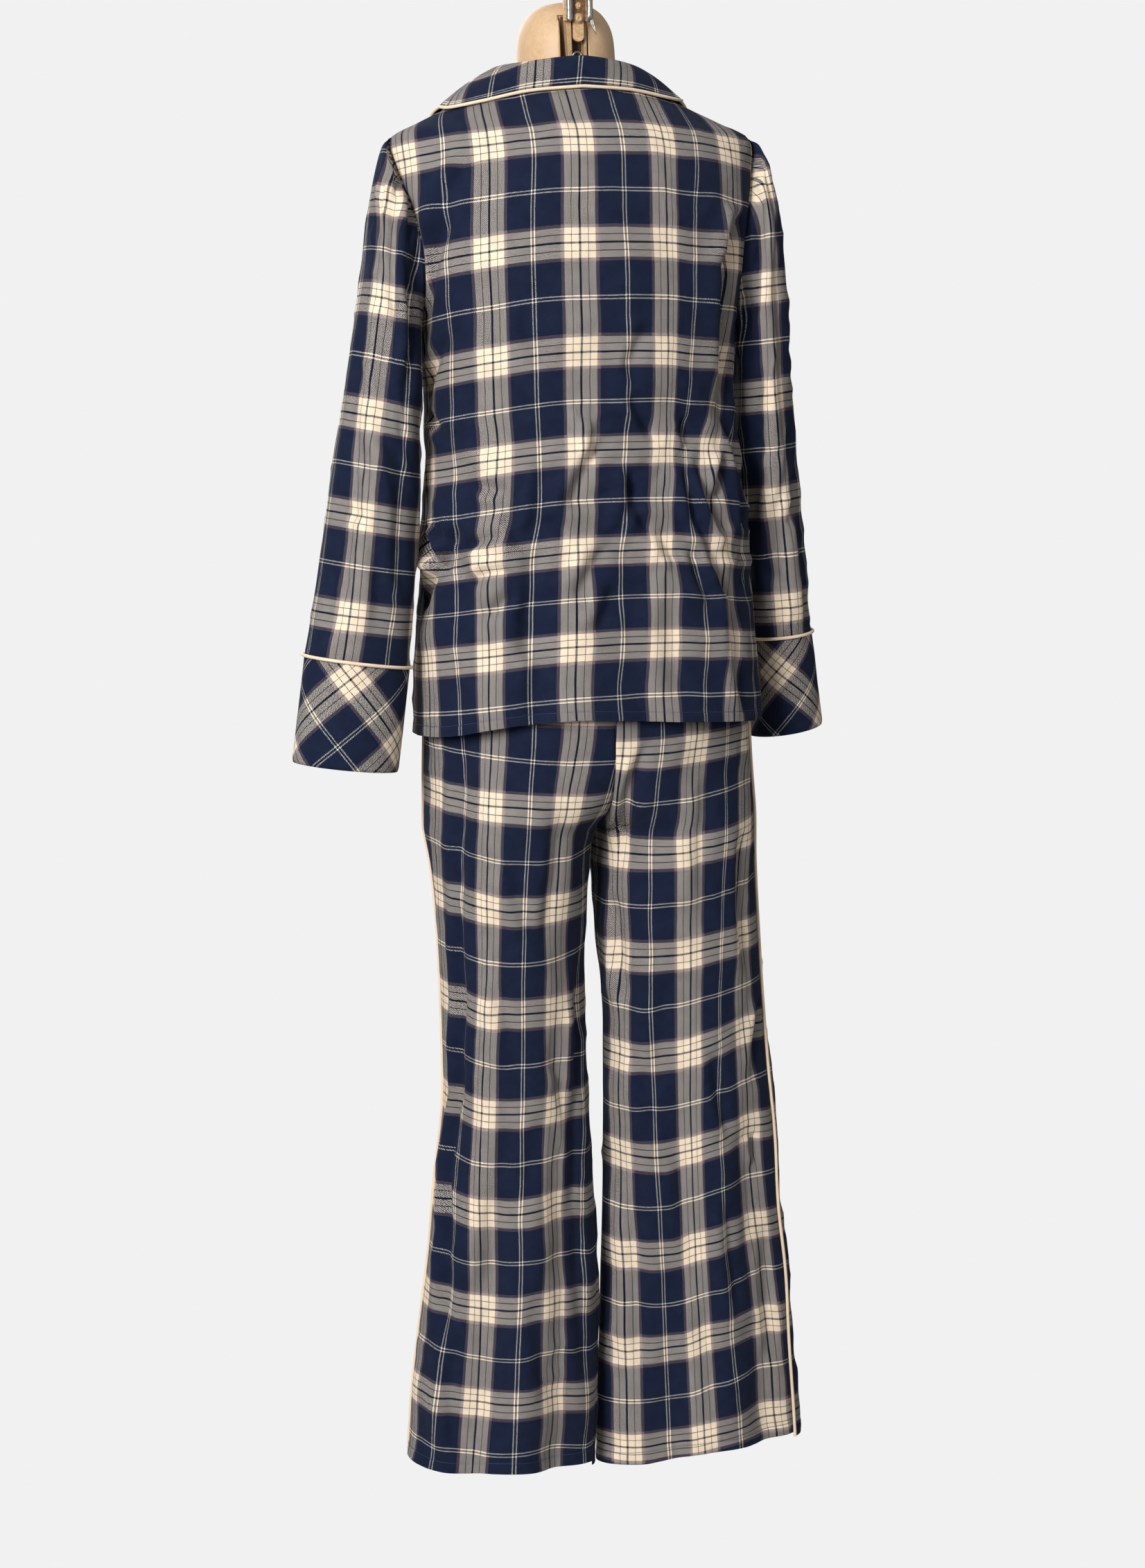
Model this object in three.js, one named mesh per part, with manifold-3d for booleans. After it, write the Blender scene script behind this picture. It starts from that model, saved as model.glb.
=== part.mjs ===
import * as THREE from "three";
import Module from "manifold-3d";
import { mergeVertices } from "three/addons/utils/BufferGeometryUtils.js";

// A flannel pyjama set, jacket and trousers, on a limbless dress form that hangs from a strap.
// Millimetres. x runs to the wearer's left, y to the wearer's back, heights go up from the
// trouser hem. The whole set is then lowered so that the hanging point is the origin.

const wasm = await Module();
wasm.setup();

// Where the strap's eye hangs on its hook.
const hangHeight = 1630;
const hangDepth = 16;

// Cloth and seams.
const clothThickness = 1.6;
const doubleThickness = 2.2;
const bandThickness = 2.6;
const bandGap = 0.6;
const seamGap = 0.3;
const armholeGap = 1.2;
const liftOverCloth = 0.35;
const liftOfPiping = 1.1;
const liftOfLongPiping = 1.5;
const lapClearance = 1;
const pipingRadius = 1.7;

// Heights on the jacket.
const jacketHemHeight = 815;
const armpitHeight = 1240;
const shoulderHeight = 1415;
const neckHeight = 1475;
const lapelBreakHeight = 1290;
const gorgeHeight = 1390;

// Heights on the trousers.
const crotchHeight = 713;
const trouserTopHeight = 985;
const waistbandHeight = 28;
const bandBlendHeight = 895;
const bandEase = 1.6;
const bandSeam = 1.2;

// The jacket's body, a row for each height. Roundness 2 is an ellipse, below 2 it comes to points
// at the shoulders, above 2 it is boxier.
const jacketSections = [
  { height: 730, halfWidth: 183, backDepth: 130, frontDepth: 130, middle: 1, roundness: 2.3 },
  { height: 815, halfWidth: 182, backDepth: 128, frontDepth: 129, middle: 0, roundness: 2.3 },
  { height: 890, halfWidth: 179, backDepth: 123, frontDepth: 126, middle: -2, roundness: 2.3 },
  { height: 965, halfWidth: 171, backDepth: 117, frontDepth: 122, middle: -3, roundness: 2.3 },
  { height: 1040, halfWidth: 166, backDepth: 112, frontDepth: 120, middle: -5, roundness: 2.3 },
  { height: 1115, halfWidth: 161, backDepth: 110, frontDepth: 120, middle: -6, roundness: 2.3 },
  { height: 1190, halfWidth: 160, backDepth: 113, frontDepth: 124, middle: -8, roundness: 2.3 },
  { height: 1240, halfWidth: 164, backDepth: 115, frontDepth: 127, middle: -10, roundness: 2.3 },
  { height: 1290, halfWidth: 174, backDepth: 113, frontDepth: 124, middle: -12, roundness: 2.25 },
  { height: 1340, halfWidth: 183, backDepth: 107, frontDepth: 112, middle: -14, roundness: 2.1 },
  { height: 1385, halfWidth: 189, backDepth: 96, frontDepth: 92, middle: -17, roundness: 1.85 },
  { height: 1415, halfWidth: 187, backDepth: 84, frontDepth: 74, middle: -20, roundness: 1.65 },
  { height: 1430, halfWidth: 159, backDepth: 75, frontDepth: 64, middle: -25, roundness: 1.65 },
  { height: 1445, halfWidth: 128, backDepth: 68, frontDepth: 58, middle: -30, roundness: 1.7 },
  { height: 1460, halfWidth: 98, backDepth: 61, frontDepth: 55, middle: -35, roundness: 1.85 },
  { height: 1475, halfWidth: 69, backDepth: 56, frontDepth: 54, middle: -40, roundness: 2 },
];

// How deep the armholes are cut into the back and the fronts, in degrees round the body.
const armholeCutBack = 20;
const armholeCutFront = 24;

// The back's hem lies higher in the middle than at the side seams.
const backHemRise = 20;
const hemRiseReach = 0.3;

// The front edges: how far they pass the middle, and how wide the neck opens at the shoulder.
const frontOverlap = 5.5;
const frontNeckAngle = 52;

// Each sleeve, a row for each ring from the shoulder to the cuff seam: its outer and inner ends,
// how thick it is from front to back, and how far back its middle lies.
const leftSleeveRings = [
  { outX: 199, outZ: 1402, inX: 165.5, inZ: 1226, halfDepth: 50, middle: -12 },
  { outX: 212, outZ: 1352, inX: 167, inZ: 1200, halfDepth: 57, middle: -8 },
  { outX: 223, outZ: 1283, inX: 169, inZ: 1165, halfDepth: 61, middle: -4 },
  { outX: 236, outZ: 1216, inX: 171, inZ: 1125, halfDepth: 62, middle: 0 },
  { outX: 249, outZ: 1148, inX: 173, inZ: 1085, halfDepth: 60, middle: 4 },
  { outX: 263, outZ: 1080, inX: 177, inZ: 1040, halfDepth: 56, middle: 9 },
  { outX: 276, outZ: 1011, inX: 182, inZ: 990, halfDepth: 51, middle: 15 },
  { outX: 289, outZ: 948, inX: 188, inZ: 935, halfDepth: 45, middle: 22 },
  { outX: 299, outZ: 905, inX: 193, inZ: 888, halfDepth: 40, middle: 28 },
];
const rightSleeveRings = [
  { outX: 199, outZ: 1403, inX: 165.5, inZ: 1226, halfDepth: 50, middle: -14 },
  { outX: 213, outZ: 1345, inX: 167, inZ: 1200, halfDepth: 58, middle: -16 },
  { outX: 221, outZ: 1275, inX: 169, inZ: 1165, halfDepth: 62, middle: -20 },
  { outX: 227, outZ: 1205, inX: 171, inZ: 1125, halfDepth: 63, middle: -24 },
  { outX: 234, outZ: 1135, inX: 173, inZ: 1085, halfDepth: 62, middle: -29 },
  { outX: 241, outZ: 1065, inX: 175, inZ: 1040, halfDepth: 60, middle: -34 },
  { outX: 248, outZ: 995, inX: 179, inZ: 990, halfDepth: 57, middle: -39 },
  { outX: 255, outZ: 935, inX: 184, inZ: 933, halfDepth: 53, middle: -44 },
  { outX: 258, outZ: 902, inX: 187, inZ: 895, halfDepth: 51, middle: -46 },
];
const leftCuffEnd = { outX: 317, outZ: 799, inX: 210, inZ: 784, halfDepth: 40, middle: 38 };
const rightCuffEnd = { outX: 274, outZ: 801, inX: 194, inZ: 788, halfDepth: 50, middle: -54 };

// Soft folds along the sleeves: where they lie round the sleeve, and the rings they run between.
const sleeveFolds = [
  { side: 1, angle: 95, drift: -30, from: 0.1, to: 0.75, depth: 9, width: 17 },
  { side: 1, angle: 40, drift: 18, from: 0.45, to: 1, depth: 6, width: 16 },
  { side: 1, angle: 262, drift: 20, from: 0.2, to: 0.85, depth: 8, width: 18 },
  { side: -1, angle: 92, drift: 20, from: 0.12, to: 0.7, depth: 8, width: 17 },
  { side: -1, angle: 140, drift: -18, from: 0.4, to: 1, depth: 6, width: 16 },
  { side: -1, angle: 278, drift: -20, from: 0.2, to: 0.85, depth: 8, width: 18 },
];

// Half the collar, from the middle of the back to its front end. The base follows the neckline,
// the fold stands above it, and the edge lies on the jacket.
const collarStations = [
  { baseAngle: 90, baseZ: 1475.4, rise: 19, lean: 6, edgeAngle: 90, edgeZ: 1461 },
  { baseAngle: 62, baseZ: 1475.4, rise: 19, lean: 5, edgeAngle: 58, edgeZ: 1456 },
  { baseAngle: 35, baseZ: 1475.4, rise: 18, lean: 4, edgeAngle: 36, edgeZ: 1446 },
  { baseAngle: 10, baseZ: 1475.4, rise: 16, lean: 4, edgeAngle: 20, edgeZ: 1441 },
  { baseAngle: -15, baseZ: 1475.4, rise: 13, lean: 6, edgeAngle: 0, edgeZ: 1443 },
  { baseAngle: -38, baseZ: 1477.1, rise: 10, lean: 8, edgeAngle: -22, edgeZ: 1434 },
  { baseAngle: -47.1, baseZ: 1448.6, rise: 7, lean: 10, edgeAngle: -38, edgeZ: 1416 },
  { baseAngle: -57.8, baseZ: 1414.6, rise: 5, lean: 10, edgeAngle: -49, edgeZ: 1399 },
];
const collarEdgeLift = 3.6;
const collarFoldAt = 0.26;
const fallRoll = 3.4;
const lapelWidthAngle = 23;
const lapelTipAngle = 3;
const lapelGapAngle = 0.6;
const lapelRoll = 2.5;
const lapelStartAbove = 30;

// The jacket's buttons.
const buttonHeights = [1262, 1150, 1038, 926];
const buttonRadius = 7.5;
const buttonThickness = 2.6;
const buttonHoleRadius = 0.9;
const buttonHoleSpacing = 1.7;

// The trouser legs and hips, a row for each height. Above the crotch the centre moves to the
// middle of the body while the side stays where it is.
const leftLegSections = [
  { height: 20, centre: 115, halfWidth: 102, halfDepth: 66, middle: 6 },
  { height: 110, centre: 107.5, halfWidth: 101, halfDepth: 66, middle: 5 },
  { height: 188, centre: 101, halfWidth: 96, halfDepth: 68, middle: 4 },
  { height: 265, centre: 95, halfWidth: 90, halfDepth: 71, middle: 3 },
  { height: 342, centre: 92, halfWidth: 84, halfDepth: 74, middle: 2 },
  { height: 418, centre: 88, halfWidth: 77, halfDepth: 77, middle: 1 },
  { height: 500, centre: 88, halfWidth: 75, halfDepth: 82, middle: 0 },
  { height: 600, centre: 88, halfWidth: 76, halfDepth: 90, middle: -1 },
  { height: 670, centre: 87.5, halfWidth: 81, halfDepth: 97, middle: -2 },
  { height: 713, centre: 87.5, halfWidth: 87.3, halfDepth: 102, middle: -3 },
  { height: 725, centre: 80, halfWidth: 94.8, halfDepth: 104, middle: -3 },
  { height: 742, centre: 64, halfWidth: 110.5, halfDepth: 107, middle: -3 },
  { height: 770, centre: 36, halfWidth: 138, halfDepth: 111, middle: -4 },
  { height: 800, centre: 12, halfWidth: 161, halfDepth: 114, middle: -4 },
  { height: 835, centre: 0, halfWidth: 171, halfDepth: 115, middle: -4 },
  { height: 880, centre: 0, halfWidth: 165, halfDepth: 111, middle: -4 },
  { height: 930, centre: 0, halfWidth: 155, halfDepth: 102, middle: -4 },
  { height: 985, centre: 0, halfWidth: 143, halfDepth: 93, middle: -4 },
];
const rightLegSections = [
  { height: 14, centre: 111, halfWidth: 116, halfDepth: 52, middle: -5 },
  { height: 50, centre: 110, halfWidth: 115, halfDepth: 52, middle: -5 },
  { height: 129, centre: 109, halfWidth: 110, halfDepth: 54, middle: -4 },
  { height: 208, centre: 108.5, halfWidth: 106, halfDepth: 56, middle: -3 },
  { height: 286, centre: 105.5, halfWidth: 99.5, halfDepth: 60, middle: -2 },
  { height: 363, centre: 104.5, halfWidth: 96, halfDepth: 64, middle: -1 },
  { height: 440, centre: 101, halfWidth: 91, halfDepth: 69, middle: 0 },
  { height: 516, centre: 98, halfWidth: 87, halfDepth: 76, middle: 0 },
  { height: 600, centre: 92.5, halfWidth: 86.5, halfDepth: 88, middle: -1 },
  { height: 670, centre: 89, halfWidth: 86, halfDepth: 97, middle: -2 },
  { height: 713, centre: 87.5, halfWidth: 87.3, halfDepth: 102, middle: -3 },
  { height: 725, centre: 80, halfWidth: 94.8, halfDepth: 104, middle: -3 },
  { height: 742, centre: 64, halfWidth: 110.5, halfDepth: 107, middle: -3 },
  { height: 770, centre: 36, halfWidth: 138, halfDepth: 111, middle: -4 },
  { height: 800, centre: 12, halfWidth: 161, halfDepth: 114, middle: -4 },
  { height: 835, centre: 0, halfWidth: 171, halfDepth: 115, middle: -4 },
  { height: 880, centre: 0, halfWidth: 165, halfDepth: 111, middle: -4 },
  { height: 930, centre: 0, halfWidth: 155, halfDepth: 102, middle: -4 },
  { height: 985, centre: 0, halfWidth: 143, halfDepth: 93, middle: -4 },
];

// The trousers hang a little twisted: how far the seams lie to the back of each leg, in degrees.
const legTwists = [
  { height: 0, leftSide: -13, rightSide: 28, leftInner: 20, rightInner: -8 },
  { height: 600, leftSide: -12, rightSide: 27, leftInner: 16, rightInner: -6 },
  { height: 713, leftSide: -11, rightSide: 24, leftInner: 0, rightInner: 0 },
  { height: 800, leftSide: -10, rightSide: 19, leftInner: 0, rightInner: 0 },
  { height: 985, leftSide: 0, rightSide: 4, leftInner: 0, rightInner: 0 },
];

// Folds that hang down the legs, in degrees round the leg from the wearer's left. A negative
// depth is a ridge.
const legFolds = [
  { side: 1, angle: 62, drift: 10, top: 560, bottom: 10, depth: 11, width: 15 },
  { side: 1, angle: 92, drift: 0, top: 420, bottom: 10, depth: -6, width: 14 },
  { side: 1, angle: 122, drift: -6, top: 640, bottom: 10, depth: 9, width: 13 },
  { side: 1, angle: 250, drift: 8, top: 600, bottom: 10, depth: 10, width: 15 },
  { side: 1, angle: 292, drift: -6, top: 480, bottom: 10, depth: 9, width: 14 },
  { side: -1, angle: 66, drift: 6, top: 600, bottom: 10, depth: 8, width: 13 },
  { side: -1, angle: 97, drift: 4, top: 430, bottom: 10, depth: -6, width: 13 },
  { side: -1, angle: 128, drift: -8, top: 520, bottom: 10, depth: 9, width: 14 },
  { side: -1, angle: 245, drift: 6, top: 520, bottom: 10, depth: 8, width: 14 },
  { side: -1, angle: 288, drift: -6, top: 620, bottom: 10, depth: 9, width: 14 },
];

// Folds in the jacket's body.
const bodyFolds = [
  { angle: 98, drift: -6, top: 1060, bottom: 800, depth: 8, width: 8 },
  { angle: 62, drift: 5, top: 1010, bottom: 800, depth: 6, width: 8 },
  { angle: 140, drift: 6, top: 1360, bottom: 1090, depth: 8, width: 8 },
  { angle: 32, drift: 4, top: 1080, bottom: 900, depth: 7, width: 8 },
  { angle: 245, drift: 6, top: 1080, bottom: 800, depth: 7, width: 9 },
  { angle: 300, drift: -5, top: 1120, bottom: 800, depth: 7, width: 9 },
];

// The dress form: how far it stays inside the jacket at each height, and its neck.
const formInsets = [
  { height: 764, inset: 92 },
  { height: 770, inset: 70 },
  { height: 782, inset: 54 },
  { height: 805, inset: 42 },
  { height: 860, inset: 34 },
  { height: 920, inset: 31 },
  { height: 984, inset: 30 },
  { height: 999, inset: 30 },
  { height: 1014, inset: 30 },
  { height: 1115, inset: 27 },
  { height: 1180, inset: 24 },
  { height: 1240, inset: 20 },
  { height: 1290, inset: 16 },
  { height: 1340, inset: 12 },
  { height: 1375, inset: 8 },
  { height: 1400, inset: 5 },
  { height: 1415, inset: 3.6 },
  { height: 1430, inset: 3.2 },
  { height: 1445, inset: 3.2 },
  { height: 1458, inset: 3.8 },
  { height: 1468, inset: 7 },
];
const formNeck = [
  { height: 1478, radius: 53 },
  { height: 1490, radius: 51.5 },
  { height: 1506, radius: 50.5 },
  { height: 1517.5, radius: 47.5 },
  { height: 1528.5, radius: 42 },
  { height: 1539.5, radius: 32 },
  { height: 1544, radius: 20 },
];
const formTop = 1546;
const formBottom = 762;
const neckMiddle = -40;
const shoulderTipInset = 16;

// The slot in the back of the neck and what hangs the form.
const slot = { halfWidth: 12.5, floor: -2.7, back: 30, bottom: 1484, top: 1531.5 };
const bracket = { plateHalfWidth: 11.6, plateFront: -2.4, plateBack: 1, bottom: 1487, top: 1529 };
const bracketLeg = { topOut: 12, topIn: 8.6, footOut: 10, footIn: 6.6, top: 1529.5, foot: 1488 };
const strap = { halfWidth: 15, front: 14, back: 18, shoulder: 1525, eyeHeight: 1622, eyeRadius: 8 };
const strapTongue = { halfWidth: 6.2, bottom: 1503 };
const rod = { radius: 3.75, offset: 10.3, bottom: 1519, top: 1603 };
const boltHeads = [
  { name: "bolt_upper", height: 1541.5, radius: 3.1, proud: 3 },
  { name: "bolt_lower", height: 1529, radius: 4.2, proud: 3.6 },
];
const boltCrown = 0.85;
const neckRing = { height: 1494, radius: 4.6, wire: 1.1 };

const materials = {
  flannel: { color: 0x2c3650, roughness: 0.95, metalness: 0 },
  piping: { color: 0xf0d7be, roughness: 0.75, metalness: 0 },
  button: { color: 0xe9dcc6, roughness: 0.35, metalness: 0 },
  form: { color: 0xdeb98c, roughness: 0.5, metalness: 0 },
  bracket: { color: 0xc79f72, roughness: 0.5, metalness: 0.2 },
  steel: { color: 0xc4c4c0, roughness: 0.35, metalness: 0.9 },
};

const set = new THREE.Group();
set.position.set(0, -hangDepth, -hangHeight);

function addPiece(name, geometry, material) {
  const mesh = new THREE.Mesh(geometry, new THREE.MeshStandardMaterial(materials[material]));
  mesh.name = name;
  set.add(mesh);
  return mesh;
}

function lerp(a, b, t) {
  return a + (b - a) * t;
}

function smooth(t) {
  const c = Math.min(1, Math.max(0, t));
  return c * c * (3 - 2 * c);
}

function radians(degrees) {
  return (degrees * Math.PI) / 180;
}

// A smooth value of one column of a table, between its rows.
function columnAt(table, key, column, at) {
  const last = table.length - 1;
  let i = 0;
  while (i < last - 1 && at > table[i + 1][key]) {
    i += 1;
  }
  const slopeAt = (j) => {
    const a = table[Math.max(0, j - 1)];
    const b = table[Math.min(last, j + 1)];
    return (b[column] - a[column]) / (b[key] - a[key]);
  };
  const a = table[i];
  const b = table[i + 1];
  const span = b[key] - a[key];
  const t = (at - a[key]) / span;
  if (t < 0 || t > 1) {
    return t < 0 ? a[column] : b[column];
  }
  const t2 = t * t;
  const t3 = t2 * t;
  return (2 * t3 - 3 * t2 + 1) * a[column] + (t3 - 2 * t2 + t) * span * slopeAt(i)
    + (3 * t2 - 2 * t3) * b[column] + (t3 - t2) * span * slopeAt(i + 1);
}

// A soft trough or ridge: how deep it is at an angle, and between its two ends. An open fold
// doesn't die away at its lower end, which is a hem.
function foldDepth(fold, angle, along, open) {
  if (along <= 0 || along > 1) {
    return 0;
  }
  const centre = fold.angle + fold.drift * (1 - along);
  let away = angle - centre;
  away -= 360 * Math.round(away / 360);
  const fade = smooth(along * 2.4) * (open ? 1 : smooth((1 - along) * 2.4));
  return fold.depth * fade * Math.exp(-((away / fold.width) ** 2));
}

// A point on the jacket's body, by angle in degrees from the wearer's left side and by height.
function bodyPoint(angle, height, lift = 0) {
  const a = radians(angle);
  const value = (column) => columnAt(jacketSections, "height", column, height);
  const power = 2 / value("roundness");
  const c = Math.cos(a);
  const s = Math.sin(a);
  const depth = value(s > 0 ? "backDepth" : "frontDepth");
  let fold = 0;
  for (const row of bodyFolds) {
    const along = (row.top - height) / (row.top - row.bottom);
    fold += foldDepth(row, angle, along, row.bottom < jacketHemHeight);
  }
  const out = lift - fold;
  const x = value("halfWidth") * Math.sign(c) * Math.abs(c) ** power;
  const y = value("middle") + depth * Math.sign(s) * Math.abs(s) ** power;
  return new THREE.Vector3(x + out * c, y + out * s, height);
}

// A point moved along the outward normal of the jacket's body.
function offBody(angle, height, distance) {
  const normal = normalAt((u, v) => bodyPoint(u, v), angle, height, 0.5, 1, 730, neckHeight);
  return bodyPoint(angle, height).addScaledVector(normal, distance);
}

// The outward normal of a surface whose first value runs round and whose second runs upwards.
function normalAt(at, u, v, stepU, stepV, lowV, highV) {
  const across = at(u + stepU, v).sub(at(u - stepU, v));
  const up = at(u, Math.min(highV, v + stepV)).sub(at(u, Math.max(lowV, v - stepV)));
  return across.cross(up).normalize();
}

// A closed wall of cloth: a grid of points, and the same grid moved inwards.
function clothWall(at, columns, rows, thickness, closed) {
  const positions = [];
  const index = [];
  const countU = closed ? columns : columns + 1;
  const countV = rows + 1;
  const inner = countU * countV;
  for (const layer of [0, 1]) {
    for (let i = 0; i < countV; i += 1) {
      for (let j = 0; j < countU; j += 1) {
        const u = j / columns;
        const v = i / rows;
        const point = at(u, v);
        if (layer === 1) {
          const normal = normalAt(at, u, v, 0.002, 0.002, 0, 1);
          point.addScaledVector(normal, -thickness);
        }
        positions.push(point.x, point.y, point.z);
      }
    }
  }
  const quad = (a, b, c, d) => index.push(a, b, c, a, c, d);
  for (let i = 0; i < rows; i += 1) {
    for (let j = 0; j < columns; j += 1) {
      const a = i * countU + j;
      const b = i * countU + ((j + 1) % countU);
      const c = b + countU;
      const d = a + countU;
      quad(a, b, c, d);
      quad(inner + a, inner + d, inner + c, inner + b);
    }
  }
  for (let j = 0; j < columns; j += 1) {
    const a = j;
    const b = (j + 1) % countU;
    const top = rows * countU;
    quad(b, a, inner + a, inner + b);
    quad(top + a, top + b, inner + top + b, inner + top + a);
  }
  if (!closed) {
    for (let i = 0; i < rows; i += 1) {
      const a = i * countU;
      const b = a + countU;
      const c = a + columns;
      const d = b + columns;
      quad(a, b, inner + b, inner + a);
      quad(d, c, inner + c, inner + d);
    }
  }
  const geometry = new THREE.BufferGeometry();
  geometry.setAttribute("position", new THREE.Float32BufferAttribute(positions, 3));
  geometry.setIndex(index);
  return geometry;
}

// Piping: a round cord sewn along a seam or an edge.
function pipingAlong(points, steps) {
  const outline = new THREE.Shape();
  outline.absarc(0, 0, pipingRadius, 0, Math.PI * 2);
  const curve = new THREE.CatmullRomCurve3(points);
  return new THREE.ExtrudeGeometry(outline, { extrudePath: curve, steps, curveSegments: 3 });
}

// The jacket's body.

// How far the armhole is cut in at a height, in degrees.
function armholeAngle(height, cut) {
  const t = (height - armpitHeight) / (shoulderHeight - armpitHeight);
  if (t <= 0 || t >= 1) {
    return 0;
  }
  return cut * Math.sin(Math.PI * t ** 0.8) ** 0.75;
}

// The left front's inner edge at a height, in degrees below the wearer's left side.
function frontEdgeAngle(height) {
  const t = (height - lapelBreakHeight) / (neckHeight - lapelBreakHeight);
  return lerp(90 + frontOverlap, 90 - frontNeckAngle, Math.min(1, Math.max(0, t)));
}

// Half a seam's gap as an angle at a side, and wider over the pointed shoulders.
const seamAngle = 0.16;
const shoulderSeamAngle = 0.6;
const shoulderBend = 1330;
const shoulderBendReach = 60;

function seamAngleAt(height) {
  return lerp(seamAngle, shoulderSeamAngle, smooth((height - shoulderBend) / shoulderBendReach));
}

function backPanelAt(u, v) {
  const height = bodyRow(v);
  const side = seamAngleAt(height) + armholeAngle(height, armholeCutBack);
  const angle = lerp(side, 180 - side, u);
  const fade = Math.max(0, 1 - v / hemRiseReach) ** 1.5;
  const middle = Math.max(0, Math.sin(radians(angle))) ** 1.5;
  return bodyPoint(angle, height + backHemRise * fade * middle);
}

// The body's rows lie closer together over the shoulders.
function bodyRow(v) {
  const slopeShare = 0.25;
  if (v > 1 - slopeShare) {
    return lerp(shoulderHeight, neckHeight, (v - 1 + slopeShare) / slopeShare);
  }
  return lerp(jacketHemHeight, shoulderHeight, v / (1 - slopeShare));
}

function leftFrontAt(u, v) {
  const height = bodyRow(v);
  const side = seamAngleAt(height) + armholeAngle(height, armholeCutFront);
  return bodyPoint(lerp(-frontEdgeAngle(height), -side, u), height);
}

// The right front laps over the left one.
function rightFrontAt(u, v) {
  const height = bodyRow(v);
  const side = seamAngleAt(height) + armholeAngle(height, armholeCutFront);
  const angle = lerp(-180 + side, -180 + frontEdgeAngle(height), u);
  return bodyPoint(angle, height, lapLift(angle));
}

function lapLift(angle) {
  return (clothThickness + lapClearance) * smooth((angle + 116) / 12);
}

// The armhole's edge, from the shoulder down the back to the armpit and up the front.
function armholePoint(side, turn) {
  const t = 0.5 + 0.5 * Math.cos(radians(turn));
  const height = lerp(armpitHeight, shoulderHeight, t);
  const back = turn > 0 && turn < 180;
  const cut = armholeAngle(height, back ? armholeCutBack : armholeCutFront);
  const angle = back ? cut : -cut;
  const point = bodyPoint(angle, height);
  point.x += armholeGap;
  point.x *= side;
  return point;
}

// The sleeves.

function ringPoint(ring, side, turn) {
  const a = radians(turn);
  const across = 0.5 + 0.5 * Math.cos(a);
  const x = lerp(ring.inX, ring.outX, across);
  const z = lerp(ring.inZ, ring.outZ, across);
  return new THREE.Vector3(side * x, ring.middle + ring.halfDepth * Math.sin(a), z);
}

// A point on a sleeve: turn 0 is its outer side, 90 its back, 180 its inner side. Along runs from
// the armhole to the cuff seam.
function sleevePoint(rings, side, turn, along) {
  const place = along * rings.length;
  const step = Math.min(rings.length - 1, Math.floor(place));
  const t = place - step;
  const at = (k) => {
    if (k <= 0) {
      return armholePoint(side, ((turn % 360) + 360) % 360);
    }
    return ringPoint(rings[Math.min(rings.length, k) - 1], side, turn);
  };
  const before = at(step - 1);
  const from = at(step);
  const to = at(step + 1);
  const after = at(step + 2);
  const point = new THREE.Vector3();
  for (const axis of ["x", "y", "z"]) {
    const slopeA = step === 0 ? to[axis] - from[axis] : (to[axis] - before[axis]) / 2;
    const isLast = step >= rings.length - 1;
    const slopeB = isLast ? to[axis] - from[axis] : (after[axis] - from[axis]) / 2;
    const t2 = t * t;
    const t3 = t2 * t;
    point[axis] = (2 * t3 - 3 * t2 + 1) * from[axis] + (t3 - 2 * t2 + t) * slopeA
      + (3 * t2 - 2 * t3) * to[axis] + (t3 - t2) * slopeB;
  }
  let fold = 0;
  const round = side > 0 ? turn : 180 - turn;
  for (const row of sleeveFolds.filter((entry) => entry.side === side)) {
    const reach = (along - row.from) / (row.to - row.from);
    fold += foldDepth(row, round, reach, false);
  }
  const a = radians(turn);
  point.x -= side * fold * Math.cos(a);
  point.y -= fold * Math.sin(a);
  return point;
}

function sleeveAt(rings, side) {
  return (u, v) => {
    const turn = side > 0 ? u * 360 : 360 - u * 360;
    return sleevePoint(rings, side, turn, 1 - v);
  };
}

// The cuff carries on from the sleeve.
function cuffAt(rings, end, side) {
  const start = rings[rings.length - 1];
  const drop = seamGap / (start.outZ - end.outZ);
  return (u, v) => {
    const turn = side > 0 ? u * 360 : 360 - u * 360;
    const from = ringPoint(start, side, turn);
    const to = ringPoint(end, side, turn);
    return from.lerp(to, lerp(1, drop, v));
  };
}

// Piping round the seam between a sleeve and its cuff, with its ends at the inner side.
function cuffPiping(rings, side) {
  const ring = rings[rings.length - 1];
  const stand = pipingRadius + liftOfPiping;
  const wide = { ...ring };
  wide.outX += stand;
  wide.inX -= stand;
  wide.halfDepth += stand;
  const points = [];
  for (let turn = -179; turn <= 179; turn += 358 / 20) {
    points.push(ringPoint(wide, side, turn));
  }
  return pipingAlong(points, 20);
}

// The collar.

// u runs from the left front end round the back to the right front end, v from the base over the
// fold to the outer edge. The points are those between its two leaves.
function collarAt(u, v) {
  const last = collarStations.length - 1;
  const away = Math.abs(u - 0.5) * 2 * last;
  const side = u < 0.5 ? 1 : -1;
  const rows = collarStations.map((row, station) => ({ station, ...row }));
  const value = (column) => columnAt(rows, "station", column, Math.min(last, away));
  const place = (angle) => (side > 0 ? angle : 180 - angle);
  const base = bodyPoint(place(value("baseAngle")), value("baseZ"));
  const out = new THREE.Vector3(base.x, base.y - neckMiddle, 0).normalize();
  const fold = base.clone().addScaledVector(out, value("lean"));
  fold.z += value("rise");
  const edge = offBody(place(value("edgeAngle")), value("edgeZ"), collarEdgeLift);
  const stand = base.clone().lerp(fold, 0.5);
  stand.z += 1;
  const fall = fold.clone().lerp(edge, 0.45);
  fall.z += fallRoll;
  const curve = new THREE.CatmullRomCurve3([base, stand, fold, fall, edge]);
  const overStand = 0.5 * (v / collarFoldAt);
  const overFall = lerp(0.5, 1, (v - collarFoldAt) / (1 - collarFoldAt));
  const t = v < collarFoldAt ? overStand : overFall;
  return curve.getPoint(Math.min(1, Math.max(0, t)));
}

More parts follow.
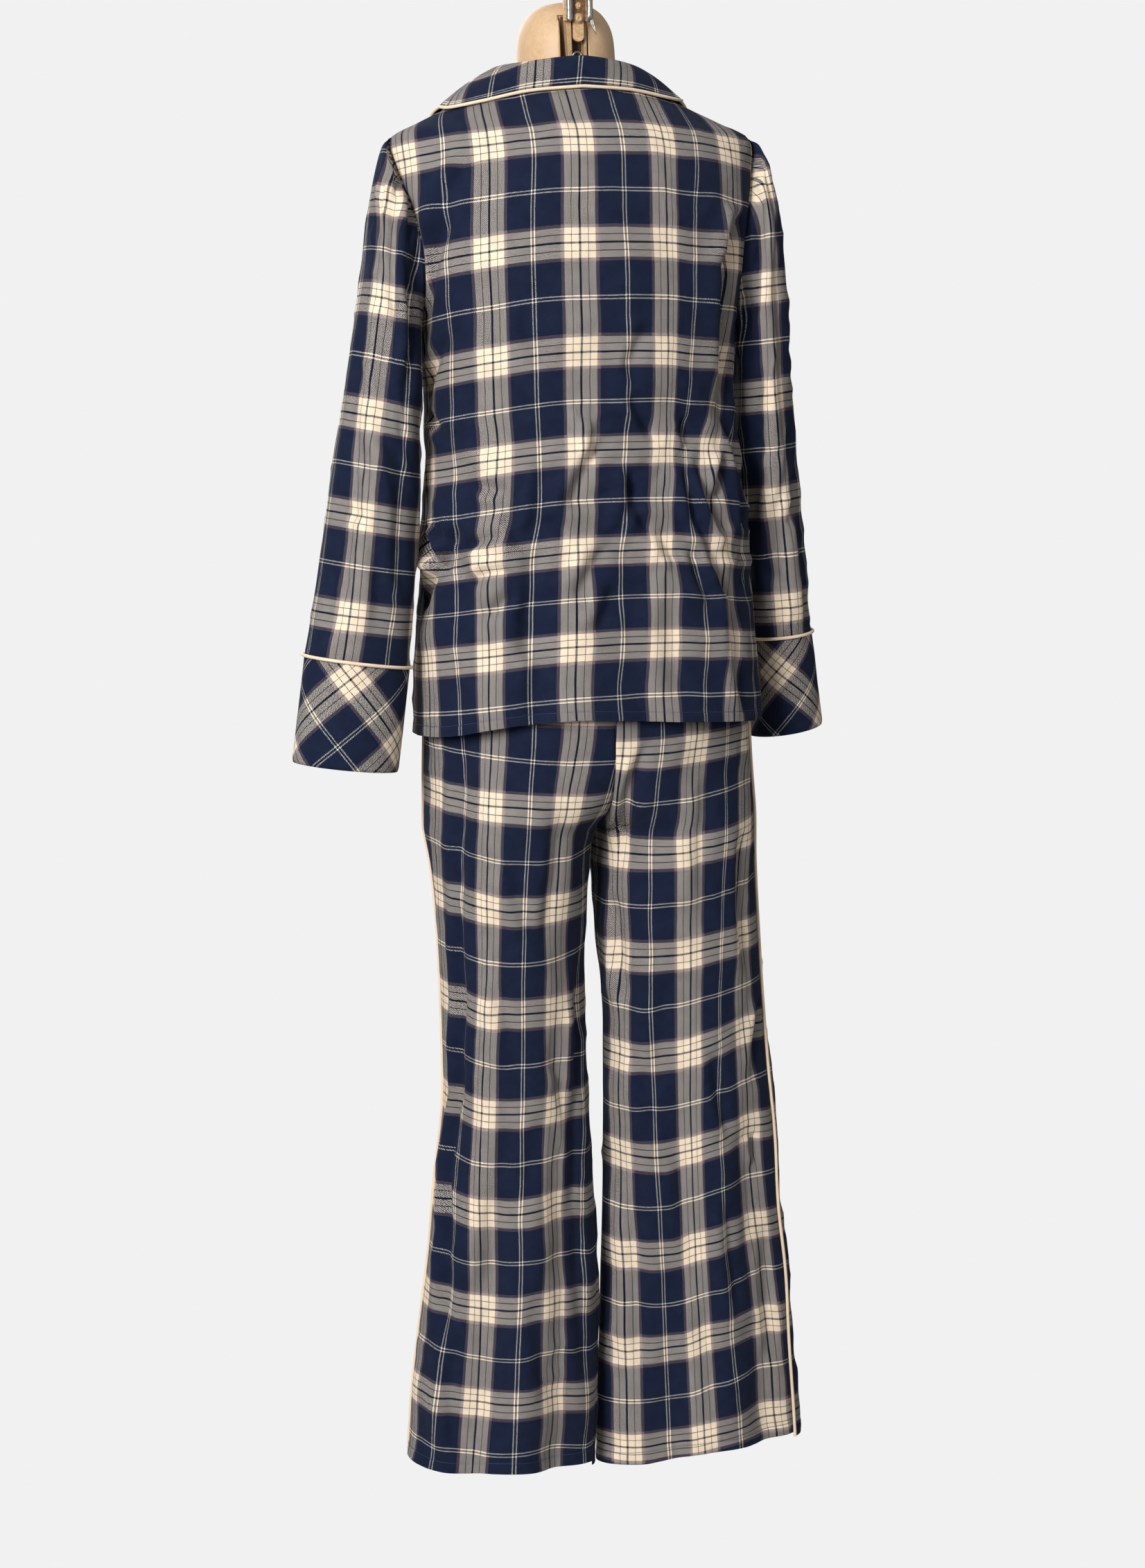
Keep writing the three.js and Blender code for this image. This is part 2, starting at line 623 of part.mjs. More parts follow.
function collarPipingPoints() {
  const points = [];
  for (let i = 0; i <= 28; i += 1) {
    const u = lerp(0.012, 0.988, i / 28);
    const edge = collarAt(u, 1);
    const before = collarAt(u, 0.94);
    const away = edge.clone().sub(before).normalize();
    const normal = normalAt(collarAt, u, 0.98, 0.002, 0.01, 0, 1);
    edge.addScaledVector(away, liftOfLongPiping + pipingRadius);
    points.push(edge.addScaledVector(normal, -doubleThickness / 2));
  }
  return points;
}

// A lapel: the front's top edge turned back on the chest. u runs outwards from the fold.
function lapelAt(side) {
  return (u, v) => {
    const height = lerp(lapelBreakHeight + lapelStartAbove, gorgeHeight, v);
    const fold = frontEdgeAngle(height);
    const width = lerp(lapelTipAngle, lapelWidthAngle, v ** 0.85);
    const across = side > 0 ? u : 1 - u;
    const angle = fold - lapelGapAngle - across * width;
    const turned = side > 0 ? -angle : -180 + angle;
    const lap = side > 0 ? 0 : lapLift(turned);
    const lift = clothThickness + liftOverCloth + lap + lapelRoll * Math.sin(Math.PI * across);
    return offBody(turned, height, lift + liftOverCloth);
  };
}

// The trousers.

function bandPoint(angle, height, ease = 0) {
  const inset = columnAt(formInsets, "height", "inset", height) - bandThickness - bandGap;
  return offBody(angle, height, ease - inset);
}

function legPoint(side, angle, height) {
  const table = side > 0 ? leftLegSections : rightLegSections;
  const value = (column) => columnAt(table, "height", column, height);
  const a = radians(angle);
  let fold = 0;
  for (const row of legFolds.filter((entry) => entry.side === side)) {
    const along = (row.top - height) / (row.top - row.bottom);
    fold += foldDepth(row, angle, along, true);
  }
  const x = side * value("centre") + (value("halfWidth") - fold) * Math.cos(a);
  const y = value("middle") + (value("halfDepth") - fold) * Math.sin(a);
  const point = new THREE.Vector3(x, y, height);
  const blend = smooth((height - bandBlendHeight) / (trouserTopHeight - bandBlendHeight));
  const band = bandPoint(angle, Math.min(height, trouserTopHeight), bandEase);
  return point.lerp(band, blend);
}

// How far a seam lies to the back at a height.
function seamTurn(side, seam, height) {
  const column = `${side > 0 ? "left" : "right"}${seam}`;
  return columnAt(legTwists, "height", column, height);
}

// Where a half of the trousers ends, in degrees from its side: at the inner leg seam below the
// crotch, and at the centre seam above it.
function innerAngle(side, height, back) {
  if (height <= crotchHeight) {
    const turn = seamTurn(side, "Inner", height);
    return 180 - seamAngle + (back ? -turn : turn);
  }
  const table = side > 0 ? leftLegSections : rightLegSections;
  const centre = columnAt(table, "height", "centre", height) - seamGap / 2;
  const halfWidth = columnAt(table, "height", "halfWidth", height);
  return (Math.acos(Math.max(-1, Math.min(1, -centre / halfWidth))) * 180) / Math.PI;
}

const legRows = 19;
const seatHeight = 772;
const crotchRowCurve = 1.3;
const pipingBelowTop = 60;

// The trousers' rows lie closer together round the crotch.
function legRow(side, v) {
  const hem = (side > 0 ? leftLegSections : rightLegSections)[0].height;
  const legShare = 12 / legRows;
  const riseShare = 16 / legRows;
  if (v <= legShare) {
    return lerp(hem, crotchHeight, v / legShare);
  }
  if (v <= riseShare) {
    const share = (v - legShare) / (riseShare - legShare);
    return lerp(crotchHeight, seatHeight, share ** crotchRowCurve);
  }
  return lerp(seatHeight, trouserTopHeight, (v - riseShare) / (1 - riseShare));
}

function trouserPanelAt(side, back) {
  return (u, v) => {
    const height = legRow(side, v);
    const turn = seamTurn(side, "Side", height);
    const near = seamAngle + (back ? turn : -turn);
    const far = innerAngle(side, height, back);
    const across = side > 0 === back ? u : 1 - u;
    const fromSide = lerp(near, far, across);
    const fromLeft = side > 0 ? fromSide : 180 - fromSide;
    return legPoint(side, back ? fromLeft : -fromLeft, height);
  };
}

// Piping down a side seam.
function sidePiping(side) {
  const hem = (side > 0 ? leftLegSections : rightLegSections)[0].height;
  const points = [];
  const steps = 22;
  for (let i = 0; i <= steps; i += 1) {
    const height = lerp(hem + 1, trouserTopHeight - pipingBelowTop, i / steps);
    const turn = seamTurn(side, "Side", height);
    const angle = side > 0 ? turn : 180 - turn;
    const legAt = (u, v) => legPoint(side, u, v);
    const normal = normalAt(legAt, angle, height, 0.5, 1, hem, trouserTopHeight);
    points.push(legAt(angle, height).addScaledVector(normal, pipingRadius + liftOfLongPiping));
  }
  return pipingAlong(points, 24);
}

// The dress form and its strap.

function closedRings(rings, bottom, top) {
  const positions = [bottom.x, bottom.y, bottom.z];
  const index = [];
  const count = rings[0].length;
  for (const ring of rings) {
    for (const point of ring) {
      positions.push(point.x, point.y, point.z);
    }
  }
  positions.push(top.x, top.y, top.z);
  const last = rings.length * count + 1;
  for (let j = 0; j < count; j += 1) {
    const next = (j + 1) % count;
    index.push(0, 1 + next, 1 + j);
    for (let i = 0; i < rings.length - 1; i += 1) {
      const a = 1 + i * count + j;
      const b = 1 + i * count + next;
      index.push(a, b, b + count, a, b + count, a + count);
    }
    index.push(last, 1 + (rings.length - 1) * count + j, 1 + (rings.length - 1) * count + next);
  }
  const geometry = new THREE.BufferGeometry();
  geometry.setAttribute("position", new THREE.Float32BufferAttribute(positions, 3));
  geometry.setIndex(index);
  return geometry;
}

function toSolid(geometry) {
  const bare = geometry.clone();
  bare.deleteAttribute("normal");
  bare.deleteAttribute("uv");
  const merged = mergeVertices(bare, 1e-4);
  const vertProperties = new Float32Array(merged.attributes.position.array);
  const triVerts = new Uint32Array(merged.index.array);
  return new wasm.Manifold(new wasm.Mesh({ numProp: 3, vertProperties, triVerts }));
}

function toGeometry(solid) {
  const mesh = solid.getMesh();
  const geometry = new THREE.BufferGeometry();
  geometry.setAttribute("position", new THREE.Float32BufferAttribute(mesh.vertProperties, 3));
  geometry.setIndex(new THREE.Uint32BufferAttribute(mesh.triVerts, 1));
  return geometry;
}

function boxBetween(x1, x2, y1, y2, z1, z2) {
  const geometry = new THREE.BoxGeometry(x2 - x1, y2 - y1, z2 - z1);
  return geometry.translate((x1 + x2) / 2, (y1 + y2) / 2, (z1 + z2) / 2);
}

function formRing(height) {
  const count = 28;
  const inset = columnAt(formInsets, "height", "inset", height);
  const points = [];
  for (let j = 0; j < count; j += 1) {
    const angle = (j / count) * 360;
    const tip = shoulderTipInset * Math.abs(Math.cos(radians(angle))) ** 5;
    const near = smooth((height - 1330) / 50) * smooth((1436 - height) / 16);
    points.push(offBody(angle, height, -inset - tip * near));
  }
  return points;
}

function formGeometry() {
  const rings = formInsets.map((row) => formRing(row.height));
  const count = rings[0].length;
  for (const row of formNeck) {
    const ring = [];
    for (let j = 0; j < count; j += 1) {
      const a = (j / count) * Math.PI * 2;
      const y = neckMiddle + row.radius * Math.sin(a);
      ring.push(new THREE.Vector3(row.radius * Math.cos(a), y, row.height));
    }
    rings.push(ring);
  }
  const bottom = new THREE.Vector3(0, 0, formBottom);
  const top = new THREE.Vector3(0, neckMiddle, formTop);
  const body = toSolid(closedRings(rings, bottom, top));
  const cut = boxBetween(-slot.halfWidth, slot.halfWidth, slot.floor, slot.back, slot.bottom, slot.top);
  return toGeometry(body.subtract(toSolid(cut)));
}

// A flat outline in x and height, given a thickness from front to back.
function plate(outline, front, back, segments = 12) {
  const geometry = new THREE.ExtrudeGeometry(outline, {
    depth: back - front, bevelEnabled: false, curveSegments: segments,
  });
  return geometry.rotateX(Math.PI / 2).translate(0, back, 0);
}

function bracketGeometry() {
  const leg = (side) => {
    const outline = new THREE.Shape([
      new THREE.Vector2(side * bracketLeg.topOut, bracketLeg.top),
      new THREE.Vector2(side * bracketLeg.topIn, bracketLeg.top),
      new THREE.Vector2(side * bracketLeg.footIn, bracketLeg.foot),
      new THREE.Vector2(side * bracketLeg.footOut, bracketLeg.foot),
    ]);
    return toSolid(plate(outline, bracket.plateBack - 1, strap.front - seamGap));
  };
  const base = boxBetween(-bracket.plateHalfWidth, bracket.plateHalfWidth, bracket.plateFront,
    bracket.plateBack, bracket.bottom, bracket.top);
  return toGeometry(toSolid(base).add(leg(1)).add(leg(-1)));
}

function strapGeometry() {
  const outline = new THREE.Shape();
  const tongue = strapTongue.halfWidth;
  outline.moveTo(tongue, strap.shoulder);
  outline.lineTo(strap.halfWidth, strap.shoulder);
  outline.lineTo(strap.halfWidth, strap.eyeHeight);
  outline.absarc(0, strap.eyeHeight, strap.halfWidth, 0, Math.PI, false);
  outline.lineTo(-strap.halfWidth, strap.shoulder);
  outline.lineTo(-tongue, strap.shoulder);
  outline.lineTo(-tongue, strapTongue.bottom + tongue);
  outline.absarc(0, strapTongue.bottom + tongue, tongue, Math.PI, Math.PI * 2, false);
  const eye = new THREE.Path();
  eye.absarc(0, strap.eyeHeight, strap.eyeRadius, 0, Math.PI * 2, true);
  outline.holes.push(eye);
  return plate(outline, strap.front, strap.back, 9);
}

function buttonGeometry() {
  const outline = new THREE.Shape();
  outline.absarc(0, 0, buttonRadius, 0, Math.PI * 2);
  for (let k = 0; k < 4; k += 1) {
    const a = radians(45 + 90 * k);
    const hole = new THREE.Path();
    const x = buttonHoleSpacing * Math.cos(a);
    const y = buttonHoleSpacing * Math.sin(a);
    hole.absarc(x, y, buttonHoleRadius, 0, Math.PI * 2, true);
    outline.holes.push(hole);
  }
  return new THREE.ExtrudeGeometry(outline, {
    depth: buttonThickness, bevelEnabled: false, curveSegments: 4,
  });
}

// Everything, piece by piece.

addPiece("jacket_back", clothWall(backPanelAt, 18, 16, clothThickness, false), "flannel");
addPiece("jacket_front_left", clothWall(leftFrontAt, 8, 16, clothThickness, false), "flannel");
addPiece("jacket_front_right", clothWall(rightFrontAt, 10, 16, clothThickness, false), "flannel");

for (const [word, side, rings, end] of [
  ["left", 1, leftSleeveRings, leftCuffEnd],
  ["right", -1, rightSleeveRings, rightCuffEnd],
]) {
  addPiece(`sleeve_${word}`, clothWall(sleeveAt(rings, side), 16, 13, clothThickness, true), "flannel");
  addPiece(`cuff_${word}`, clothWall(cuffAt(rings, end, side), 16, 2, doubleThickness, true), "flannel");
  addPiece(`cuff_piping_${word}`, cuffPiping(rings, side), "piping");
}

addPiece("collar", clothWall((u, v) => collarAt(1 - u, 1 - v), 24, 6, doubleThickness, false), "flannel");
addPiece("collar_piping", pipingAlong(collarPipingPoints(), 34), "piping");
addPiece("lapel_left", clothWall(lapelAt(1), 5, 6, clothThickness, false), "flannel");
addPiece("lapel_right", clothWall(lapelAt(-1), 5, 6, clothThickness, false), "flannel");

buttonHeights.forEach((height, k) => {
  const mesh = addPiece(`button_${k + 1}`, buttonGeometry(), "button");
  const at = (u, v) => bodyPoint(u, v, lapLift(u));
  const normal = normalAt(at, -90, height, 0.5, 1, jacketHemHeight, neckHeight);
  mesh.position.copy(at(-90, height)).addScaledVector(normal, liftOverCloth - 0.1);
  mesh.quaternion.setFromUnitVectors(new THREE.Vector3(0, 0, 1), normal);
});

for (const [word, side] of [["left", 1], ["right", -1]]) {
  const back = clothWall(trouserPanelAt(side, true), 11, legRows, clothThickness, false);
  const front = clothWall(trouserPanelAt(side, false), 9, legRows, clothThickness, false);
  addPiece(`trouser_back_${word}`, back, "flannel");
  addPiece(`trouser_front_${word}`, front, "flannel");
  addPiece(`side_piping_${word}`, sidePiping(side), "piping");
}
const bandAt = (u, v) => bandPoint(u * 360, trouserTopHeight + bandSeam + v * waistbandHeight);
addPiece("waistband", clothWall(bandAt, 28, 2, bandThickness, true), "flannel");

addPiece("form_body", formGeometry(), "form");
addPiece("neck_bracket", bracketGeometry(), "bracket");
addPiece("hanger_strap", strapGeometry(), "bracket");
for (const [word, side] of [["left", 1], ["right", -1]]) {
  const bar = new THREE.CylinderGeometry(rod.radius, rod.radius, rod.top - rod.bottom, 16);
  const mesh = addPiece(`rod_${word}`, bar, "steel");
  mesh.rotation.x = Math.PI / 2;
  mesh.position.set(side * rod.offset, strap.back + seamGap + rod.radius, (rod.top + rod.bottom) / 2);
}
for (const head of boltHeads) {
  const crown = new THREE.CylinderGeometry(head.radius * boltCrown, head.radius, head.proud, 16);
  const mesh = addPiece(head.name, crown, "bracket");
  mesh.position.set(0, strap.back + seamGap + head.proud / 2, head.height);
}
const ring = addPiece("neck_ring", new THREE.TorusGeometry(neckRing.radius, neckRing.wire, 6, 14), "steel");
ring.rotation.x = Math.PI / 2;
ring.position.set(0, bracket.plateBack + seamGap + neckRing.wire, neckRing.height);

export default set;
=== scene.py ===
import math

import bmesh
import bpy
import numpy as np
from mathutils import Matrix, Vector


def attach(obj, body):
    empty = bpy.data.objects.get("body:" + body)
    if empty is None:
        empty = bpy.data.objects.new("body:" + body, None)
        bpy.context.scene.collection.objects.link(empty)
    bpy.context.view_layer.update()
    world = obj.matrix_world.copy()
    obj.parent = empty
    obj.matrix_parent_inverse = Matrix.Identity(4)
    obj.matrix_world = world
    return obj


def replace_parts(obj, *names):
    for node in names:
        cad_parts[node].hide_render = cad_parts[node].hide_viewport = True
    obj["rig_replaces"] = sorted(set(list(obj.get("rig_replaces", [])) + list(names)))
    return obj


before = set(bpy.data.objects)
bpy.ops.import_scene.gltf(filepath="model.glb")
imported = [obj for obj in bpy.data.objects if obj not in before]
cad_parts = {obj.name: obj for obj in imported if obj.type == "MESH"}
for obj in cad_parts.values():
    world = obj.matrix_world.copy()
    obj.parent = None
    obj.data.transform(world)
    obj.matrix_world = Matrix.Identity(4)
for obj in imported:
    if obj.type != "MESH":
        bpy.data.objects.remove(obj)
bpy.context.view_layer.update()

# Sizes are in garment millimetres until a mesh is made: x to the wearer's left, y to the wearer's
# back, height above the trouser hem. The frame's origin is the eye of the hanging strap.
hang = {"height": 1630, "depth": 16}


def toFrame(points):
    moved = np.array(points, float)
    moved[..., 1] -= hang["depth"]
    moved[..., 2] -= hang["height"]
    return moved * 0.001


def lerp(a, b, t):
    return a + (b - a) * t


def smooth(t):
    c = np.clip(t, 0.0, 1.0)
    return c * c * (3 - 2 * c)


def hermite(t, start, startSlope, end, endSlope):
    t2, t3 = t * t, t * t * t
    return ((2 * t3 - 3 * t2 + 1) * start + (t3 - 2 * t2 + t) * startSlope
            + (3 * t2 - 2 * t3) * end + (t3 - t2) * endSlope)


def through(a, b, c, d, f):
    # a smooth curve from b to c, with a before them and d after them
    return 0.5 * (2 * b + (c - a) * f + (2 * a - 5 * b + 4 * c - d) * f**2
                  + (3 * b - a - 3 * c + d) * f**3)


def columnAt(table, column, at, key="height"):
    # a smooth value of one column of a table, between its rows
    x = np.array(table[key], float)
    y = np.array(table[column], float)
    at = np.asarray(at, float)
    i = np.clip(np.searchsorted(x, at, side="left") - 1, 0, len(x) - 2)
    low = np.maximum(np.arange(len(x)) - 1, 0)
    high = np.minimum(np.arange(len(x)) + 1, len(x) - 1)
    slope = (y[high] - y[low]) / (x[high] - x[low])
    span = x[i + 1] - x[i]
    t = np.clip((at - x[i]) / span, 0, 1)
    return hermite(t, y[i], span * slope[i], y[i + 1], span * slope[i + 1])


def unit(v):
    return v / np.maximum(np.linalg.norm(v, axis=-1, keepdims=True), 1e-9)


def softNoise(x, y, size, seed):
    # smooth random values about 0, with bumps of a given size
    lattice = np.random.default_rng(seed).uniform(-1, 1, (61, 61))
    gx = np.asarray(x, float) / size + 1000
    gy = np.asarray(y, float) / size + 1000
    ix = np.floor(gx).astype(int)
    iy = np.floor(gy).astype(int)
    fx = smooth(gx - ix)
    fy = smooth(gy - iy)
    a = lattice[ix % 61, iy % 61]
    b = lattice[(ix + 1) % 61, iy % 61]
    c = lattice[ix % 61, (iy + 1) % 61]
    d = lattice[(ix + 1) % 61, (iy + 1) % 61]
    return lerp(lerp(a, b, fx), lerp(c, d, fx), fy)


def gridNormals(p, wrap=False):
    if wrap:
        across = np.roll(p, -1, 1) - np.roll(p, 1, 1)
    else:
        across = np.gradient(p, axis=1)
    return unit(np.cross(across, np.gradient(p, axis=0)))


# A soft trough or ridge along a main fold: angle, drift, top, bottom, depth, width. One that ends
# at a hem stays open there.
def foldDepth(fold, angle, height, openBelow):
    centre, drift, top, bottom, depth, width = fold
    along = (top - height) / (top - bottom)
    away = angle - (centre + drift * (1 - along))
    away = away - 360 * np.round(away / 360)
    fade = smooth(along * 2.4)
    if bottom >= openBelow:
        fade = fade * smooth((1 - along) * 2.4)
    inside = (along > 0) & ((along <= 1) | (bottom < openBelow))
    return np.where(inside, depth * fade * np.exp(-((away / width) ** 2)), 0)


def creases(x, z, rows):
    # how far the cloth moves out: rows hold two ends, a width, a depth and a bow sideways
    total = np.zeros(np.broadcast(x, z).shape)
    for x1, z1, x2, z2, width, depth, bow in rows:
        length = math.hypot(x2 - x1, z2 - z1)
        ax, az = (x2 - x1) / length, (z2 - z1) / length
        along = ((x - x1) * ax + (z - z1) * az) / length
        away = (x - x1) * az - (z - z1) * ax
        away = away - bow * 4 * along * (1 - along)
        fade = smooth(along * 3 + 0.4) * smooth((1 - along) * 3 + 0.4)
        trough = -np.exp(-((away / width) ** 2))
        ridge = 0.7 * np.exp(-(((away - 1.5 * width) / (1.15 * width)) ** 2))
        total = total + depth * fade * (trough + ridge)
    return total


jacket = {
    "height": [730, 815, 890, 965, 1040, 1115, 1190, 1240, 1290, 1340, 1385, 1415, 1430, 1445, 1460, 1475],
    "halfWidth": [183, 182, 179, 171, 166, 161, 160, 164, 174, 183, 189, 187, 159, 128, 98, 69],
    "backDepth": [130, 128, 123, 117, 112, 110, 113, 115, 113, 107, 96, 84, 75, 68, 61, 56],
    "frontDepth": [130, 129, 126, 122, 120, 120, 124, 127, 124, 112, 92, 74, 64, 58, 55, 54],
    "middle": [1, 0, -2, -3, -5, -6, -8, -10, -12, -14, -17, -20, -25, -30, -35, -40],
    "roundness": [2.3, 2.3, 2.3, 2.3, 2.3, 2.3, 2.3, 2.3, 2.25, 2.1, 1.85, 1.65, 1.65, 1.7, 1.85, 2],
}
jacketSizes = {
    "hem": 815, "armpit": 1240, "shoulder": 1415, "neck": 1475, "lapelBreak": 1290, "gorge": 1390,
    "armholeCutBack": 20, "armholeCutFront": 24, "frontOverlap": 5.5, "frontNeckAngle": 52,
    "cloth": 1.0, "lapLift": 2.6, "hemDepth": 12, "grid": 3.4,
}
bodyFolds = [
    (98, -6, 1060, 800, 8, 8), (62, 5, 1010, 800, 6, 8), (140, 6, 1360, 1090, 8, 8),
    (32, 4, 1080, 900, 7, 8), (245, 6, 1080, 800, 7, 9), (300, -5, 1120, 800, 7, 9),
]


def bodyPoint(angle, height, lift=0.0):
    angle, height, lift = np.broadcast_arrays(angle, height, lift)
    a = np.radians(angle)
    power = 2 / columnAt(jacket, "roundness", height)
    c, s = np.cos(a), np.sin(a)
    depth = np.where(s > 0, columnAt(jacket, "backDepth", height), columnAt(jacket, "frontDepth", height))
    out = lift - sum(foldDepth(fold, angle, height, jacketSizes["hem"]) for fold in bodyFolds)
    x = columnAt(jacket, "halfWidth", height) * np.sign(c) * np.abs(c) ** power + out * c
    y = columnAt(jacket, "middle", height) + depth * np.sign(s) * np.abs(s) ** power + out * s
    return np.stack([x, y, np.array(height, float)], -1)


def bodyNormal(angle, height, lift=0.0):
    across = bodyPoint(angle + 0.5, height, lift) - bodyPoint(angle - 0.5, height, lift)
    top = np.minimum(jacketSizes["neck"], np.asarray(height) + 1)
    low = np.maximum(730, np.asarray(height) - 1)
    return unit(np.cross(across, bodyPoint(angle, top, lift) - bodyPoint(angle, low, lift)))


def offBody(angle, height, distance):
    distance = np.asarray(distance, float)
    return bodyPoint(angle, height) + bodyNormal(angle, height) * distance[..., None]


def armholeAngle(height, cut):
    s = jacketSizes
    t = np.clip((height - s["armpit"]) / (s["shoulder"] - s["armpit"]), 0, 1)
    return cut * np.maximum(np.sin(np.pi * t**0.8), 0) ** 0.75


def frontEdgeAngle(height):
    s = jacketSizes
    t = np.clip((height - s["lapelBreak"]) / (s["neck"] - s["lapelBreak"]), 0, 1)
    return lerp(90 + s["frontOverlap"], 90 - s["frontNeckAngle"], t)


def lapLift(angle):
    return jacketSizes["lapLift"] * smooth((angle + 116) / 12)


# Each sleeve: rings from the shoulder to the cuff seam, by their outer and inner ends.
sleeves = {
    1: {
        "outX": [199, 212, 223, 236, 249, 263, 276, 289, 299],
        "outZ": [1402, 1352, 1283, 1216, 1148, 1080, 1011, 948, 905],
        "inX": [165.5, 167, 169, 171, 173, 177, 182, 188, 193],
        "inZ": [1226, 1200, 1165, 1125, 1085, 1040, 990, 935, 888],
        "halfDepth": [50, 57, 61, 62, 60, 56, 51, 45, 40],
        "middle": [-12, -8, -4, 0, 4, 9, 15, 22, 28],
        "cuff": {"outX": 317, "outZ": 799, "inX": 210, "inZ": 784, "halfDepth": 40, "middle": 38},
    },
    -1: {
        "outX": [199, 213, 221, 227, 234, 241, 248, 255, 258],
        "outZ": [1403, 1345, 1275, 1205, 1135, 1065, 995, 935, 902],
        "inX": [165.5, 167, 169, 171, 173, 175, 179, 184, 187],
        "inZ": [1226, 1200, 1165, 1125, 1085, 1040, 990, 933, 895],
        "halfDepth": [50, 58, 62, 63, 62, 60, 57, 53, 51],
        "middle": [-14, -16, -20, -24, -29, -34, -39, -44, -46],
        "cuff": {"outX": 274, "outZ": 801, "inX": 194, "inZ": 788, "halfDepth": 50, "middle": -54},
    },
}
# Folds down the sleeves: side, angle, drift, from, to, depth, width.
sleeveFolds = [
    (1, 95, -30, 0.1, 0.75, 9, 17), (1, 40, 18, 0.45, 1, 6, 16), (1, 262, 20, 0.2, 0.85, 8, 18),
    (-1, 92, 20, 0.12, 0.7, 8, 17), (-1, 140, -18, 0.4, 1, 6, 16), (-1, 278, -20, 0.2, 0.85, 8, 18),
]


def armholePoint(side, turn):
    s = jacketSizes
    turn = np.mod(turn, 360)
    height = lerp(s["armpit"], s["shoulder"], 0.5 + 0.5 * np.cos(np.radians(turn)))
    back = (turn > 0) & (turn < 180)
    cut = np.where(back, armholeAngle(height, s["armholeCutBack"]),
                   -armholeAngle(height, s["armholeCutFront"]))
    point = bodyPoint(cut, height)
    point[..., 0] = side * (point[..., 0] + 0.6)
    return point


def ringPoint(ring, side, turn):
    a = np.radians(turn)
    across = 0.5 + 0.5 * np.cos(a)
    x = side * lerp(ring["inX"], ring["outX"], across)
    y = ring["middle"] + ring["halfDepth"] * np.sin(a)
    return np.stack(np.broadcast_arrays(x, y, lerp(ring["inZ"], ring["outZ"], across)), -1)


def ringOf(side, k):
    rows = sleeves[side]
    return {column: rows[column][k] for column in ("outX", "outZ", "inX", "inZ", "halfDepth", "middle")}


def sleevePoints(side, turn, along):
    # turn and along are flat lists: the grid has a row for each along and a column for each turn
    count = len(sleeves[side]["outX"])
    rings = [armholePoint(side, turn)] + [ringPoint(ringOf(side, k), side, turn) for k in range(count)]
    rings = np.array(rings)
    slopes = np.gradient(rings, axis=0)
    place = np.clip(np.asarray(along) * count, 0, count - 1e-6)
    step = np.floor(place).astype(int)
    t = (place - step)[:, None, None]
    points = hermite(t, rings[step], slopes[step], rings[step + 1], slopes[step + 1])
    T, A = np.meshgrid(turn, along)
    angle = T if side > 0 else 180 - T
    fold = np.zeros(T.shape)
    for row in sleeveFolds:
        if row[0] == side:
            reach = (A - row[3]) / (row[4] - row[3])
            fold += foldDepth((row[1], row[2], 0, -1, row[5], row[6]), angle, -reach, -2)
    points[..., 0] -= side * fold * np.cos(np.radians(T))
    points[..., 1] -= fold * np.sin(np.radians(T))
    return points


# Half the collar, from the middle of the back to its front end.
collar = {
    "station": [0, 1, 2, 3, 4, 5, 6, 7],
    "baseAngle": [90, 62, 35, 10, -15, -38, -47.1, -57.8],
    "baseZ": [1475.4, 1475.4, 1475.4, 1475.4, 1475.4, 1477.1, 1448.6, 1414.6],
    "rise": [15.5, 12, 10, 10, 10, 9, 7, 5],
    "lean": [6, 5, 4, 4, 6, 8, 10, 10],
    "edgeAngle": [90, 58, 36, 20, 0, -22, -38, -49],
    "edgeZ": [1461, 1456, 1446, 1441, 1443, 1434, 1416, 1399],
    "rightPull": [0, 2, 6, 9, 8, 5, 2, 0], "edgeLift": 3.6, "fallRoll": 3.4, "foldAt": 0.26, "cloth": 2.0,
    "warpAt": 44.5, "weftAt": 47.3, "bumps": (0.35, 30),
}
neckMiddle = -40


def collarPoints(u, v):
    away = np.abs(u - 0.5) * 2 * 7
    side = np.where(u < 0.5, 1, -1)

    def value(column):
        return columnAt(collar, column, np.minimum(7, away), "station")

    def place(angle):
        return np.where(side > 0, angle, 180 - angle)

    base = bodyPoint(place(value("baseAngle")), value("baseZ"))
    out = unit(base * [1, 1, 0] - [0, neckMiddle, 0])
    fold = base + out * value("lean")[..., None]
    fold[..., 2] += value("rise")
    pull = np.where(side < 0, value("rightPull"), 0)
    edge = offBody(place(value("edgeAngle")), value("edgeZ") + pull, collar["edgeLift"])
    stand = (base + fold) / 2
    stand[..., 2] += 1
    fall = lerp(fold, edge, 0.45)
    fall[..., 2] += collar["fallRoll"]
    knots = np.array([2 * base - stand, base, stand, fold, fall, edge, 2 * edge - fall])
    t = np.where(v < collar["foldAt"], v / collar["foldAt"] * 0.5,
                 lerp(0.5, 1, (v - collar["foldAt"]) / (1 - collar["foldAt"])))
    place4 = np.clip(t * 4, 0, 4 - 1e-6)
    step = np.floor(place4).astype(int)
    f = (place4 - step)[:, None, None]
    return through(knots[step], knots[step + 1], knots[step + 2], knots[step + 3], f)


lapel = {"widthAngle": 23, "tipAngle": 3, "startAbove": 30, "lift": 2.3, "roll": 2.5, "gapAngle": 0.6,
         "cloth": 1.3}


